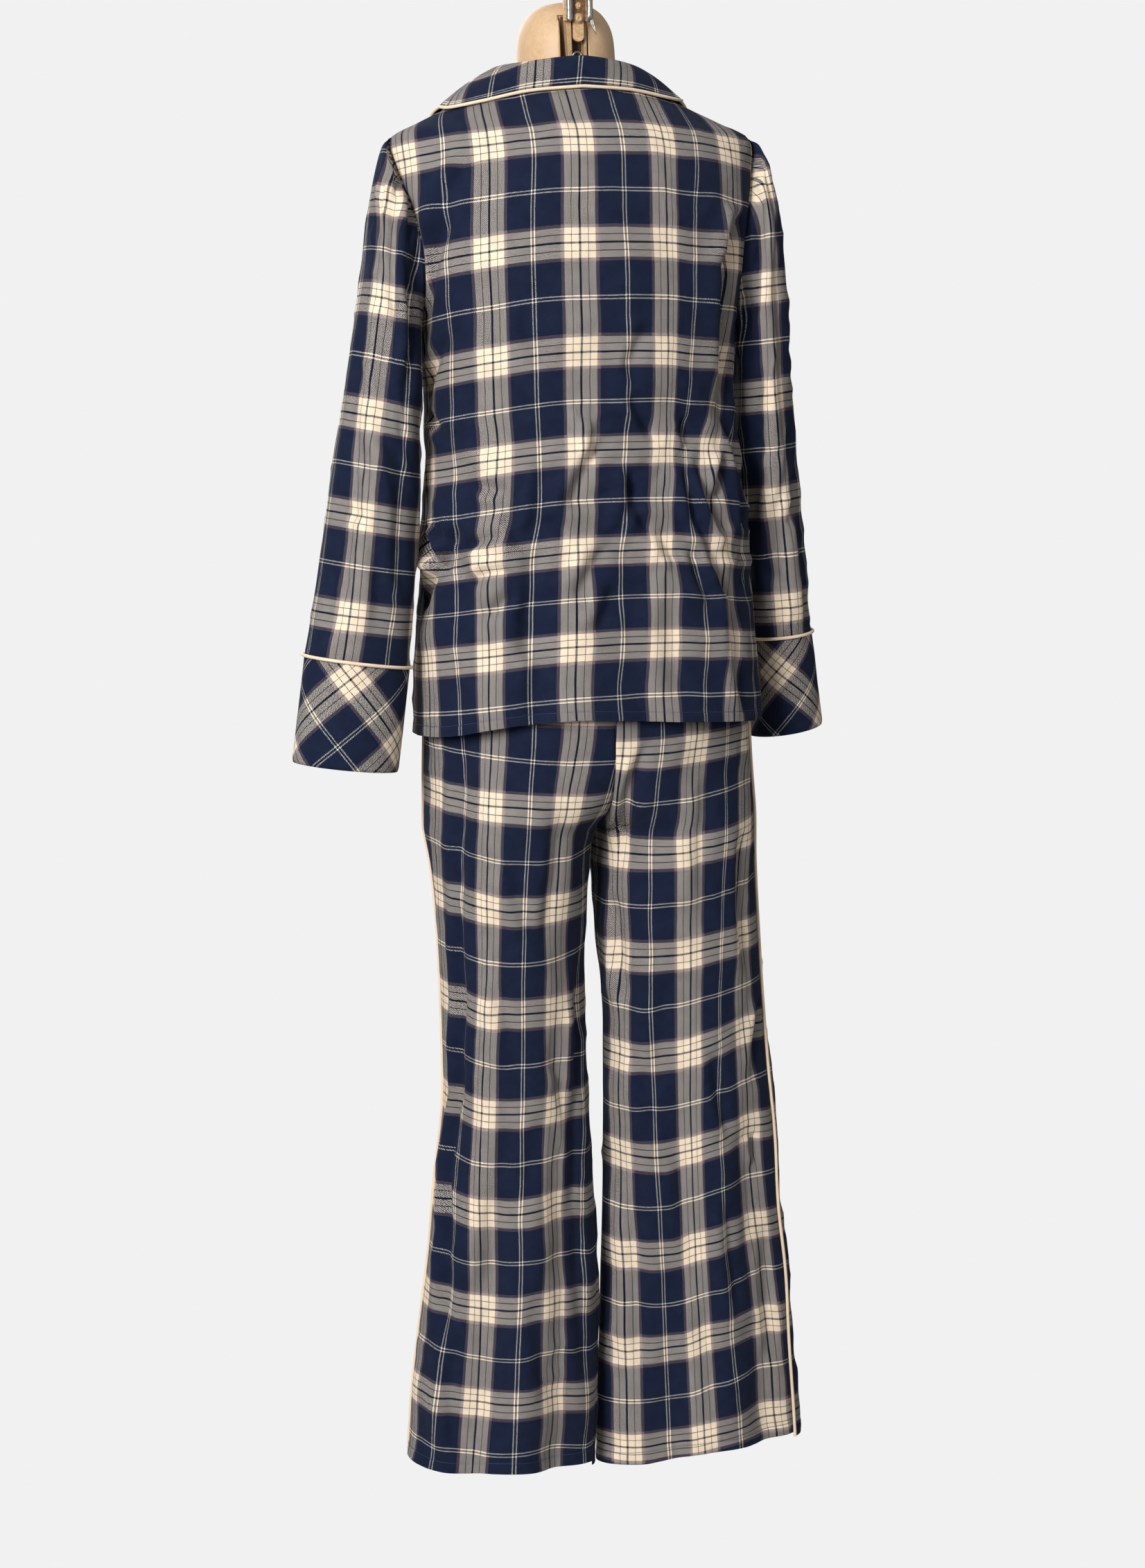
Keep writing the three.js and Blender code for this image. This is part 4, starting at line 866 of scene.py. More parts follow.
def crumple(x, z, size, seed):
    # sharp-edged dents like those of cloth that was folded and worn
    dents = 0
    for k, (scale, part) in enumerate(((1.0, 1.0), (0.55, 0.7), (0.3, 0.34))):
        turned = 0.5 + 1.1 * k
        a = x * math.cos(turned) + z * math.sin(turned)
        b = z * math.cos(turned) - x * math.sin(turned)
        dents = dents + part * (1 - 2.2 * np.abs(softNoise(a, b * 0.62, size * scale, seed + k)))
    return dents


# How much deeper the creases are than their rows say, and on a sleeve the share of that.
creaseGain, sleeveGain = 2.5, 0.7
# The cloth's unevenness by piece: depth and size of its soft bumps, depth and size of its dents.
unevenness = {"back": (0.6, 46, 1.0, 58), "front": (0.9, 52, 1.0, 60), "sleeve": (0.7, 55, 1.5, 56),
              "leg": (0.9, 60, 1.5, 66)}
# Creases fade out near a seam, and from the middle line to beyond the fronts' overlap.
seamCalm, overlapCalm = 14, (16, 30)
waistCrumple = {"height": 1035, "reach": 95, "back": 3.0, "front": 1.6}


def uneven(kind, across, up, seeds, dentUp=None, extra=0.0):
    bumpDepth, bumpSize, dentDepth, dentSize = unevenness[kind]
    bumps = bumpDepth * softNoise(across, up, bumpSize, seeds[0])
    dents = crumple(across, up if dentUp is None else dentUp, dentSize, seeds[1])
    return bumps + (dentDepth + extra) * dents


def creasesOnArc(across, points, heights, rows):
    # the rows' x is first turned into distance from the grain line, so that widths hold at the sides
    def arcOf(x, z):
        i = int(np.clip(np.searchsorted(heights, z), 0, len(heights) - 1))
        order = np.argsort(points[i, :, 0])
        return float(np.interp(x, points[i, order, 0], across[i, order]))

    placed = [(arcOf(x1, z1), z1, arcOf(x2, z2), z2, *rest) for x1, z1, x2, z2, *rest in rows]
    return creaseGain * creases(across, points[..., 2], placed)


s = jacketSizes
hemPaths = {}


def hemPath(points, heights, hemTop):
    # the stitched line of a hem, on the cloth's outer face
    i = int(np.searchsorted(heights, hemTop - hemStitch["below"]))
    return (points[i] + gridNormals(points)[i] * hemStitch["proud"])[1:-1]


def bodyRows(low, high, hem):
    return low + (high - low) * spacing(high - low, s["grid"], hem)


heights = bodyRows(s["hem"], s["neck"], s["hemDepth"])
columnsBack = np.linspace(0, 1, 136)
H, U = np.meshgrid(heights, columnsBack, indexing="ij")
sideAngle = armholeAngle(H, s["armholeCutBack"])
angleBack = lerp(sideAngle, 180 - sideAngle, U)
fade = np.maximum(0, 1 - (H - s["hem"]) / hemline["reach"]) ** 1.5
raised = H + columnAt({"height": hemline["angle"], "rise": hemline["rise"]}, "rise", angleBack) * fade
smoothBack = bodyPoint(angleBack, raised)
acrossBack = arcAcross(smoothBack, grainAt(heights, backCheck))
edgeAway = np.minimum(acrossBack - acrossBack[:, :1], acrossBack[:, -1:] - acrossBack)
lift = creasesOnArc(acrossBack, smoothBack, heights, backCreases)
waist = np.exp(-(((raised - waistCrumple["height"]) / waistCrumple["reach"]) ** 2))
lift += uneven("back", acrossBack, H, (4, 3), raised, waistCrumple["back"] * waist)
lift *= smooth(edgeAway / seamCalm)
lift += hemProfile(H - s["hem"], s["hemDepth"]) + seamProfile(edgeAway)
points = smoothBack + gridNormals(smoothBack) * lift[..., None]
uvBack = np.stack([warpAt(acrossBack, heights, backCheck), weftAt(angleBack, raised, backCheck)], -1)
jacketBack = clothShell("back_panel", points, uvBack, s["cloth"])
hemPaths["jacket_back"] = hemPath(points, heights, s["hem"] + s["hemDepth"])
finishPiece(jacketBack, flannel, "jacket_back")
sheet(points)
print("jacket back built")

for word, side in (("left", 1), ("right", -1)):
    count = 66 if side > 0 else 70
    H, U = np.meshgrid(heights, np.linspace(0, 1, count), indexing="ij")
    near = armholeAngle(H, s["armholeCutFront"])
    if side > 0:
        angle = lerp(-frontEdgeAngle(H), -near, U)
        base = bodyPoint(angle, H)
    else:
        angle = lerp(-180 + near, -180 + frontEdgeAngle(H), U)
        base = bodyPoint(angle, H, lapLift(angle))
    across = arcAcross(base, np.full(len(heights), frontGrain * side))
    seam = np.abs(across - (across[:, -1:] if side > 0 else across[:, :1]))
    lift = uneven("front", across, H, (7 + side, 17 + side), extra=waistCrumple["front"] * waist[:, :1])
    # flat where the fronts lie on each other
    lift *= smooth(seam / seamCalm) * smooth((np.abs(base[..., 0]) - overlapCalm[0]) / overlapCalm[1])
    lift += hemProfile(H - s["hem"], s["hemDepth"]) + seamProfile(seam)
    points = base + gridNormals(base) * lift[..., None]
    uv = np.stack([across + warpHalf * side, weftAt(np.zeros(H.shape), H, backCheck)], -1)
    piece = clothShell(f"front_{word}", points, uv, s["cloth"])
    hemPaths[f"jacket_front_{word}"] = hemPath(points, heights, s["hem"] + s["hemDepth"])
    finishPiece(piece, flannel, f"jacket_front_{word}")
    sheet(points)
print("jacket fronts built")

sleeveCheck = {
    1: {"marks": [(45.5, 0.18), (52, 0.342), (53, 0.546), (62.5, 0.713), (67.5, 0.888)], "tilt": (17, 8),
        "lean": 11, "cuff": (78, 0.84)},
    -1: {"marks": [(58.5, 0.093), (89, 0.247), (99, 0.457), (95, 0.683), (90, 0.898)], "tilt": (8, 4),
         "lean": 5.8, "cuff": (117, 0.68)},
}
# Creases fade out at the seam under the arm, in degrees, and at both ends.
sleeveCalm = {"under": 30, "top": 12, "low": 10}
cuffSizes = {"depth": 100, "grid": 3.0, "upTo": 0.998, "cloth": 2.0, "tuck": 5.0, "bumps": (0.8, 40),
             "roll": 0.8}
# Creases of the sleeves: distance from the middle stripe and height of both ends, width, depth, bow.
sleeveCreases = {
    1: [(-32, 1392, -27, 1325, 5, 2.6, 2), (-12, 1388, -17, 1305, 5, 2.6, -2),
        (8, 1384, 14, 1290, 6, 3.2, 3),
        (30, 1365, 38, 1240, 7, 4.0, 4), (46, 1330, 44, 1180, 8, 4.0, 3), (40, 1230, 46, 985, 10, 3.2, 5),
        (-26, 1250, -20, 1000, 12, 2.4, -4), (6, 1215, 22, 1120, 8, 2.0, 3), (10, 1132, 36, 1096, 7, 2.4, 2),
        (-32, 1062, 4, 1040, 7, 2.0, 2), (18, 1060, 30, 930, 9, 2.4, 3), (20, 982, 46, 958, 7, 2.0, 2),
        (-8, 990, -16, 925, 8, 1.8, 2)],
    -1: [(30, 1392, 26, 1330, 5, 2.4, 2), (10, 1388, 14, 1310, 6, 2.4, 2),
         (-12, 1380, -20, 1280, 7, 3.4, -3),
         (-34, 1350, -38, 1200, 8, 4.0, 3), (-30, 1230, -36, 1000, 10, 3.0, -4),
         (22, 1260, 16, 1010, 12, 2.4, 4),
         (-8, 1190, -22, 1110, 8, 2.2, 3), (-30, 1110, 2, 1088, 7, 2.2, 2), (4, 1065, -18, 940, 9, 2.6, 3),
         (26, 1040, 6, 1018, 7, 1.8, 2), (-26, 975, 0, 955, 7, 2.0, 2), (30, 960, 24, 915, 8, 1.8, 2)],
}
for word, side in (("left", 1), ("right", -1)):
    check = sleeveCheck[side]
    turn = np.linspace(0, 360, 89)
    if side < 0:
        turn = turn[::-1]
    along = np.linspace(1, 0, 150)
    base = sleevePoints(side, turn[:-1], along)
    T, A = np.meshgrid(turn[:-1], along)
    closed = np.concatenate([base, base[:, :1]], 1)
    marks = [sleevePoints(side, np.array([at]), np.array([down]))[0, 0] for at, down in check["marks"]]
    marks = np.array(marks)
    downs = [mark[1] for mark in check["marks"]]
    grainTurn = np.interp(along, downs, [mark[0] for mark in check["marks"]])
    lean = math.radians(check["lean"])
    axis = np.array([side * math.sin(lean), 0, -math.cos(lean)])
    arc = arcAcross(closed, axis=axis)
    order = np.argsort(turn)
    start = np.array([np.interp(grainTurn[i], turn[order], arc[i][order]) for i in range(len(along))])
    across = arc - start[:, None]
    grainX = np.interp(-closed[..., 2], -marks[:, 2], side * marks[:, 0])
    tilt = np.radians(np.interp(-closed[..., 2], (-1380, -900), check["tilt"]))
    level = closed[..., 2] - np.tan(tilt) * (side * closed[..., 0] - grainX)
    weft = np.interp(-level, -marks[:, 2], weftStep * np.arange(len(marks)))
    weft = weft + np.minimum(0, marks[0, 2] - level) + np.maximum(0, marks[-1, 2] - level)
    down = arcAlong(closed[::-1])[::-1]
    top = down[:, :-1]
    low = down[:1, :-1] - top
    lift = uneven("sleeve", across, down, (31 + side, 41 + side))
    lift += sleeveGain * creaseGain * creases(across, closed[..., 2], sleeveCreases[side])
    fromUnder = smooth(np.minimum(T, 360 - T) / sleeveCalm["under"])
    lift = lift[:, :-1] * fromUnder * smooth(top / sleeveCalm["top"]) * smooth(low / sleeveCalm["low"])
    lift += seamProfile(top) + seamProfile(low)
    points = base + gridNormals(base, True) * lift[..., None]
    # the top ring goes into the armhole
    tucked = points[-1:] - np.array([side * cuffSizes["tuck"], 0, 0])
    points = np.concatenate([points, tucked])
    uv = np.stack([across, -weft], -1)
    uv = np.concatenate([uv, uv[-1:]])
    piece = clothShell(f"sleeve_body_{word}", points, uv, s["cloth"], wrap=True)
    finishPiece(piece, flannel, f"sleeve_{word}")
    sheet(points, True)

    ring, end = ringOf(side, 8), sleeves[side]["cuff"]
    upper = ringPoint(ring, side, turn[:-1])
    lower = ringPoint(end, side, turn[:-1])
    share = spacing(cuffSizes["depth"], cuffSizes["grid"])
    base = lerp(lower, upper, share[:, None, None] * cuffSizes["upTo"])
    closed = np.concatenate([base, base[:, :1]], 1)
    across = arcAcross(closed)
    up = arcAlong(closed)
    edge = up[:, :-1]
    bumps, size = cuffSizes["bumps"]
    lift = bumps * softNoise(across, up, size, 51 + side)[:, :-1] * fromUnder[0]
    lift += -cuffSizes["roll"] * np.exp(-((edge / 2.0) ** 2)) + seamProfile(up[-1:, :-1] - edge)
    points = base + gridNormals(base, True) * lift[..., None]
    cuffTurn, cuffShare = check["cuff"]
    row = int(round(cuffShare * (len(share) - 1)))
    column = int(np.argmin(np.abs(turn - cuffTurn)))
    uv = np.stack([across - across[row, column], up - up[row, column]], -1)
    piece = clothShell(f"cuff_band_{word}", points, uv, cuffSizes["cloth"], wrap=True)
    finishPiece(piece, flannelBias, f"cuff_{word}")
    sheet(points, True)
print("sleeves and cuffs built")

u = np.linspace(1, 0, 181)
v = np.linspace(1, 0, 34)
base = collarPoints(u, v)
across = arcAcross(base)
up = arcAlong(base)
bumps, size = collar["bumps"]
lift = bumps * softNoise(across, up, size, 61)
points = base + gridNormals(base) * lift[..., None]
uv = np.stack([across + collar["warpAt"], up + collar["weftAt"]], -1)
collarPiece = clothShell("collar_leaf", points, uv, collar["cloth"])
finishPiece(collarPiece, flannel, "collar")
sheet(points)

for word, side in (("left", 1), ("right", -1)):
    base = lapelPoints(side, np.linspace(0, 1, 22), np.linspace(0, 1, 34))
    uv = np.stack([arcAcross(base), arcAlong(base)], -1)
    piece = clothShell(f"lapel_leaf_{word}", base, uv, lapel["cloth"])
    finishPiece(piece, flannel, f"lapel_{word}")
    sheet(base)
print("collar and lapels built")

# Where the check falls on the legs, as on the jacket's back: every row of the weft (pale rows at
# 0, 104, 208 ..., white lines between them) by its height at six angles.
legCheck = {
    1: {
        "angles": [20, 45, 70, 95, 120, 145],
        "rows": [
            (-52, 805, 799, 793, 790, 790, 790), (0, 758, 751, 748, 745, 747, 748),
            (52, 707, 701, 693, 691, 691, 694),
            (104, 652, 646, 642, 640, 641, 643), (156, 597, 588, 585, 585, 587, 591),
            (208, 541, 533, 531, 532, 531, 530),
            (260, 490, 480, 476, 477, 477, 476), (312, 432, 426, 424, 427, 427, 425),
            (364, 380, 372, 369, 372, 373, 371),
            (416, 327, 321, 316, 321, 321, 316), (468, 273, 266, 263, 267, 266, 260),
            (520, 224, 218, 212, 217, 214, 208),
            (572, 174, 167, 159, 163, 159, 152), (624, 121, 116, 112, 113, 109, 102),
            (676, 67, 62, 57, 58, 53, 44),
        ],
        "nominal": [-44.5, 0, 44.5, 89],
        "columns": [
            (985, 74, -84, -44, 0, 44.5), (820, 81, -78, -44, 0, 44), (750, 88, -72, -42, 0, 38),
            (640, 94, -74, -39, 0, 37), (540, 96, -69, -40, 0, 38), (430, 97, -70, -43, 0, 38),
            (330, 101, -74, -46, 0, 37),
            (220, 105, -79, -44, 0, 41), (110, 112, -85, -43, 0, 48), (20, 117, -90, -46, 0, 49),
        ],
    },
    -1: {
        "angles": [20, 45, 70, 95, 120, 145],
        "rows": [
            (0, 801, 800, 799, 796, 798, 799), (52, 750, 749, 745, 746, 751, 756),
            (104, 687, 688, 690, 695, 700, 706),
            (156, 632, 633, 636, 641, 648, 654), (208, 576, 577, 581, 586, 592, 596),
            (260, 522, 520, 524, 533, 540, 543),
            (312, 468, 467, 471, 481, 492, 493), (364, 411, 411, 413, 425, 433, 436),
            (416, 361, 359, 360, 372, 382, 380),
            (468, 303, 301, 304, 319, 325, 326), (520, 249, 248, 250, 264, 268, 266),
            (572, 194, 192, 193, 207, 217, 216),
            (624, 141, 140, 144, 157, 160, 156), (676, 82, 83, 86, 100, 107, 106),
            (728, 31, 30, 34, 44, 47, 46),
        ],
        "nominal": [0, 44.5, 89, 133.5, 178],
        "columns": [
            (985, -52, -44, 0, 44, 88, 132), (820, -50, -42, 0, 40, 86, 128),
            (750, -43, -40, 0, 40, 84, 116),
            (640, -43, -40, 0, 42, 78, 106), (540, -45, -40, 0, 42, 74, 102),
            (430, -49, -40, 0, 39, 71, 106),
            (330, -53, -41, 0, 38, 70, 114), (220, -59, -42, 0, 37, 71, 122),
            (110, -63, -44, 0, 38, 75, 129),
            (14, -66, -47, 0, 39, 80, 134),
        ],
    },
}
# How much the hems rise or hang at each angle, and creases: both ends in x and height, width, depth, bow.
legHems = {
    1: {"height": [0, 30, 60, 90, 120, 150, 180], "rise": [22, 20, 15, 18, 10, 5, -4], "reach": 190},
    -1: {"height": [0, 30, 60, 90, 120, 150, 180], "rise": [-6, -4, -1, 9, 8, 8, 2], "reach": 190},
}
legCreases = {
    1: [(154, 640, 154, 540, 7, 3.0, 2), (154, 548, 158, 425, 7, 3.4, -3), (159, 430, 173, 313, 7, 3.4, 3),
        (172, 330, 182, 190, 8, 3.0, -3), (30, 560, 40, 300, 9, 2.6, 4), (118, 560, 100, 470, 9, 1.8, 4),
        (60, 470, 44, 380, 9, 1.8, -3), (128, 330, 132, 240, 10, 1.8, 3), (80, 420, 96, 330, 10, 1.6, 3),
        (146, 800, 152, 640, 9, 2.2, 3), (60, 740, 72, 610, 10, 1.8, -4), (104, 690, 86, 610, 9, 1.8, 3),
        (36, 300, 30, 120, 10, 2.2, 4), (90, 240, 78, 120, 12, 1.8, 4), (170, 180, 176, 60, 10, 2.0, 3)],
    -1: [(-30, 800, -20, 690, 8, 3.0, 5), (-14, 640, -24, 520, 9, 2.4, 4), (-100, 760, -96, 620, 10, 1.8, 4),
         (-140, 700, -148, 560, 9, 2.4, 3), (-110, 470, -128, 380, 8, 2.4, 3),
         (-160, 372, -166, 340, 5, 2.6, 2),
         (-34, 470, -46, 380, 9, 1.8, -3), (-80, 360, -92, 240, 10, 2.0, 4),
         (-128, 300, -140, 180, 9, 2.2, 3),
         (-30, 300, -36, 120, 10, 2.2, 4), (-176, 260, -184, 120, 9, 2.2, 3),
         (-100, 200, -112, 70, 12, 2.0, 3),
         (-62, 560, -56, 450, 11, 1.6, 3), (-170, 520, -160, 440, 8, 2.2, 2)],
}
# A front panel has the creases of the back, nearer the middle and lower.
frontCreases = {"share": 0.9, "lower": 30}
t = trousers
for word, side in (("left", 1), ("right", -1)):
    hem = legs[side]["height"][0]
    heights = hem + (t["top"] - hem) * spacing(t["top"] - hem, t["grid"], t["hemDepth"])
    near0 = seamTurn(side, "side", heights)
    for back in (True, False):
        count = 76 if back else 62
        H, U = np.meshgrid(heights, np.linspace(0, 1, count), indexing="ij")
        turnBy = near0[:, None]
        near = turnBy if back else -turnBy
        far = innerAngle(side, H, back)
        ordered = U if (side > 0) == back else 1 - U
        fromSide = lerp(near, far, ordered)
        fromLeft = fromSide if side > 0 else 180 - fromSide
        around = fromLeft if back else -fromLeft
        check = legCheck[side]
        fade = np.maximum(0, 1 - (H - hem) / legHems[side]["reach"]) ** 1.5
        raised = H + columnAt(legHems[side], "rise", np.clip(fromLeft, 0, 180)) * fade
        base = legPoint(side, around, raised)
        across = arcAcross(base, grainAt(heights, check))
        edgeAway = np.minimum(across - across[:, :1], across[:, -1:] - across)
        seed = 71 + side * 3 + int(back)
        lift = uneven("leg", across, H, (seed, seed + 20))
        rows = legCreases[side]
        if not back:
            rows = [(x1 * frontCreases["share"], z1 - frontCreases["lower"],
                     x2 * frontCreases["share"], z2 - frontCreases["lower"], *rest)
                    for x1, z1, x2, z2, *rest in rows]
        lift += creasesOnArc(across, base, heights, rows)
        lift *= smooth(edgeAway / seamCalm)
        lift += hemProfile(H - hem, t["hemDepth"]) + seamProfile(edgeAway)
        points = base + gridNormals(base) * lift[..., None]
        uv = np.stack([warpAt(across, heights, check), weftAt(fromLeft, raised, check)], -1)
        label = "back" if back else "front"
        piece = clothShell(f"leg_{label}_{word}", points, uv, t["cloth"])
        hemPaths[f"trouser_{label}_{word}"] = hemPath(points, heights, hem + t["hemDepth"])
        finishPiece(piece, flannel, f"trouser_{label}_{word}")
        sheet(points)
print("trousers built")

band = {"gap": 1.2, "cloth": 2.0, "gathers": 64, "gatherDepth": 1.2, "rows": 9}
bandHeights = t["top"] + band["gap"] + t["bandHeight"] * np.linspace(0, 1, band["rows"])
A, H = np.meshgrid(np.arange(360.0), bandHeights)
gathers = np.sin(np.radians(A) * band["gathers"]) * np.sin(np.pi * (H - t["top"]) / t["bandHeight"])
base = bandPoint(A, H, band["gatherDepth"] * gathers)
closed = np.concatenate([base, base[:, :1]], 1)
uv = np.stack([arcAcross(closed), arcAlong(closed)], -1)
bandPiece = clothShell("waist_band", base, uv, band["cloth"], wrap=True)
finishPiece(bandPiece, flannel, "waistband")
sheet(base, True)


def pathTree(name, values):
    # a tree that takes a path, some lengths and a material, with its path made even
    tree = bpy.data.node_groups.new(name, "GeometryNodeTree")
    tree.interface.new_socket("Geometry", in_out="INPUT", socket_type="NodeSocketGeometry")
    for label, value in values:
        tree.interface.new_socket(label, in_out="INPUT", socket_type="NodeSocketFloat").default_value = value
    tree.interface.new_socket("Material", in_out="INPUT", socket_type="NodeSocketMaterial")
    tree.interface.new_socket("Geometry", in_out="OUTPUT", socket_type="NodeSocketGeometry")
    nodes = Nodes(tree)
    source = nodes.add("NodeGroupInput").outputs
    curve = nodes.add("GeometryNodeMeshToCurve", {0: source[0]})
    even = nodes.add("GeometryNodeResampleCurve", {"Curve": curve.outputs[0], "Length": source[1]},
                     mode="LENGTH")
    return tree, nodes, source, even.outputs[0]


def endTree(nodes, made, look):
    whole = nodes.add("GeometryNodeRealizeInstances", {0: made})
    finished = nodes.add("GeometryNodeSetMaterial", {0: whole.outputs[0], "Material": look})
    nodes.add("NodeGroupOutput", {0: finished.outputs[0]})


def pipingTree():
    tree, nodes, source, path = pathTree("pipingCord", [("Spacing", 0.004), ("Radius", 0.0017)])
    profile = nodes.add("GeometryNodeCurvePrimitiveCircle", {"Resolution": 12, "Radius": source[2]},
                        mode="RADIUS")
    tube = nodes.add("GeometryNodeCurveToMesh", {0: path, 1: profile.outputs[0], "Fill Caps": True})
    endTree(nodes, nodes.add("GeometryNodeSetShadeSmooth", {0: tube.outputs[0]}).outputs[0], source[3])
    return tree


def stitchTree():
    tree, nodes, source, path = pathTree("stitchRow",
                                         [("Pitch", 0.003), ("Length", 0.0022), ("Radius", 0.00025)])
    stitch = nodes.add("GeometryNodeMeshCylinder", {"Vertices": 6, "Radius": source[3], "Depth": source[2]})
    tangent = nodes.add("GeometryNodeInputTangent")
    along = nodes.add("FunctionNodeAlignRotationToVector", {"Vector": tangent.outputs[0]}, axis="Z")
    laid = nodes.add("GeometryNodeInstanceOnPoints",
                     {"Points": path, "Instance": stitch.outputs[0], "Rotation": along.outputs[0]})
    endTree(nodes, laid.outputs[0], source[4])
    return tree


def alongPath(name, paths, tree, values):
    # the tree's mesh along one or more paths, as a plain mesh
    vertices, edges = [], []
    for path in paths:
        start = len(vertices)
        vertices += toFrame(path).tolist()
        edges += [(start + k, start + k + 1) for k in range(len(path) - 1)]
    mesh = bpy.data.meshes.new(name + "_path")
    mesh.from_pydata(vertices, edges, [])
    guide = bpy.data.objects.new(name + "_guide", mesh)
    bpy.context.collection.objects.link(guide)
    modifier = guide.modifiers.new("follow", "NODES")
    modifier.node_group = tree
    for item in tree.interface.items_tree:
        if item.in_out == "INPUT" and item.name in values:
            modifier[item.identifier] = values[item.name]
    depsgraph = bpy.context.evaluated_depsgraph_get()
    made = bpy.data.meshes.new_from_object(guide.evaluated_get(depsgraph))
    bpy.data.objects.remove(guide)
    made.name = name + "_mesh"
    piece = bpy.data.objects.new(name, made)
    bpy.context.collection.objects.link(piece)
    return piece


cordTree = pipingTree()
stitches = stitchTree()
piping = {"radius": 1.7, "overCloth": 1.1, "inSeam": 1.0, "overSide": {1: 0.7, -1: 1.5}, "ends": 0.012,
          "overEdge": 1.8, "belowEdge": -1.0, "aboveHem": 1, "belowTop": 60}


def pipingPiece(name, path, node):
    made = alongPath(name, [path], cordTree, {"Radius": piping["radius"] * 0.001, "Spacing": 0.004,
                                              "Material": pipingCotton})
    finishPiece(made, pipingCotton, node)
    return made


for word, side in (("left", 1), ("right", -1)):
    ring = ringOf(side, 8)
    stand = piping["radius"] + piping["overCloth"] - piping["inSeam"]
    ring["outX"] += stand
    ring["inX"] -= stand
    ring["halfDepth"] += stand
    pipingPiece(f"cuff_cord_{word}", ringPoint(ring, side, np.linspace(-179, 179, 90)),
                f"cuff_piping_{word}")

u = np.linspace(1 - piping["ends"], piping["ends"], 150)
grid = collarPoints(u, np.array([0.97, 1.0]))
away = unit(grid[1] - grid[0])
normal = gridNormals(collarPoints(u, np.array([1.0, 0.99])))[0]
beyond = away * piping["overEdge"] + normal * piping["belowEdge"]
pipingPiece("collar_cord", grid[1] + beyond, "collar_piping")

for word, side in (("left", 1), ("right", -1)):
    hem = legs[side]["height"][0]
    high = np.linspace(hem + piping["aboveHem"], t["top"] - piping["belowTop"], 160)
    endRise = legHems[side]["rise"][0 if side > 0 else -1]
    high = high + endRise * np.maximum(0, 1 - (high - hem) / legHems[side]["reach"]) ** 1.5
    turnBy = seamTurn(side, "side", high)
    angle = turnBy if side > 0 else 180 - turnBy
    middle = legPoint(side, angle, high)
    beside = legPoint(side, angle + 1, high) - legPoint(side, angle - 1, high)
    upward = np.gradient(middle, axis=0)
    normal = unit(np.cross(beside, upward))
    pipingPiece(f"side_cord_{word}", middle + normal * piping["overSide"][side], f"side_piping_{word}")
print("piping built")

stitching = {"pitch": 0.0031, "length": 0.0024, "radius": 0.00032}


def stitchedRow(name, paths, node, gap=None, across=False):
    # a row of stitches along each path; close together they make a buttonhole's edge
    pitch = gap * 0.001 if gap else stitching["pitch"]
    length = pitch * 1.2 if across else stitching["length"]
    rows = alongPath(name, paths, stitches, {"Pitch": pitch, "Length": length,
                                             "Radius": stitching["radius"], "Material": thread})
    return finishPiece(rows, thread, node)


for node, path in hemPaths.items():
    stitchedRow(f"hem_stitches_{node}", [path], node)
print("hems stitched")

buttons = {"heights": [1262, 1150, 1038, 926], "radius": 7.5, "thickness": 2.6, "hole": 0.9, "spacing": 1.7,
           "proud": 0.5}


def lathe(name, profile, count):
    # profile: radius and height pairs from the axis at the bottom to the axis at the top
    angles = np.linspace(0, 2 * math.pi, count, endpoint=False)
    vertices, faces = [], []
    rings = []
    for radius, height in profile:
        if radius < 1e-6:
            rings.append([len(vertices)])
            vertices.append((0, 0, height))
        else:
            rings.append(list(range(len(vertices), len(vertices) + count)))
            vertices += [(radius * math.cos(a), radius * math.sin(a), height) for a in angles]
    for low, high in zip(rings, rings[1:]):
        for k in range(count):
            m = (k + 1) % count
            if len(low) == 1:
                faces.append((low[0], high[m], high[k]))
            elif len(high) == 1:
                faces.append((low[k], low[m], high[0]))
            else:
                faces.append((low[k], low[m], high[m], high[k]))
    mesh = bpy.data.meshes.new(name + "_mesh")
    mesh.from_pydata(vertices, [], faces)
    mesh.shade_smooth()
    return linked(name, mesh)


def place(piece, matrix):
    piece.data.transform(matrix)
    piece.data.update()
    return piece


def cutAway(piece, cutter):
    modifier = piece.modifiers.new("cut", "BOOLEAN")
    modifier.operation = "DIFFERENCE"
    modifier.solver = "EXACT"
    modifier.object = cutter
    made = bpy.data.meshes.new_from_object(piece.evaluated_get(bpy.context.evaluated_depsgraph_get()))
    piece.modifiers.clear()
    piece.data = made
    bpy.data.objects.remove(cutter)
    return piece


def buttonPiece(name):
    r, h = buttons["radius"], buttons["thickness"]
    profile = [(0, 0), (r - 1.2, 0), (r - 0.3, 0.5), (r, 1.2), (r - 0.25, h - 0.4), (r - 0.9, h),
               (r - 1.9, h - 0.25), (r - 2.6, h - 0.7), (0, h - 0.75)]
    piece = lathe(name, profile, 40)
    tool = bmesh.new()
    for k in range(4):
        a = math.radians(45 + 90 * k)
        x, y = buttons["spacing"] * math.cos(a), buttons["spacing"] * math.sin(a)
        bmesh.ops.create_cone(tool, cap_ends=True, segments=16, radius1=buttons["hole"], depth=h * 3,
                              radius2=buttons["hole"], matrix=Matrix.Translation((x, y, h / 2)))
    return cutAway(piece, fromMaker("holes", tool))


for k, height in enumerate(buttons["heights"]):
    centre = bodyPoint(-90.0, height, lapLift(-90.0))
    normal = Vector(bodyNormal(-90.0, height, lapLift(-90.0)))
    lifted = toFrame(centre + np.array(normal) * buttons["proud"])
    turn = normal.to_track_quat("Z", "Y").to_matrix().to_4x4()
    made = buttonPiece(f"shirt_button_{k + 1}")
    place(made, Matrix.Translation(Vector(lifted)) @ turn @ Matrix.Scale(0.001, 4))
    finishPiece(made, buttonResin, f"button_{k + 1}")

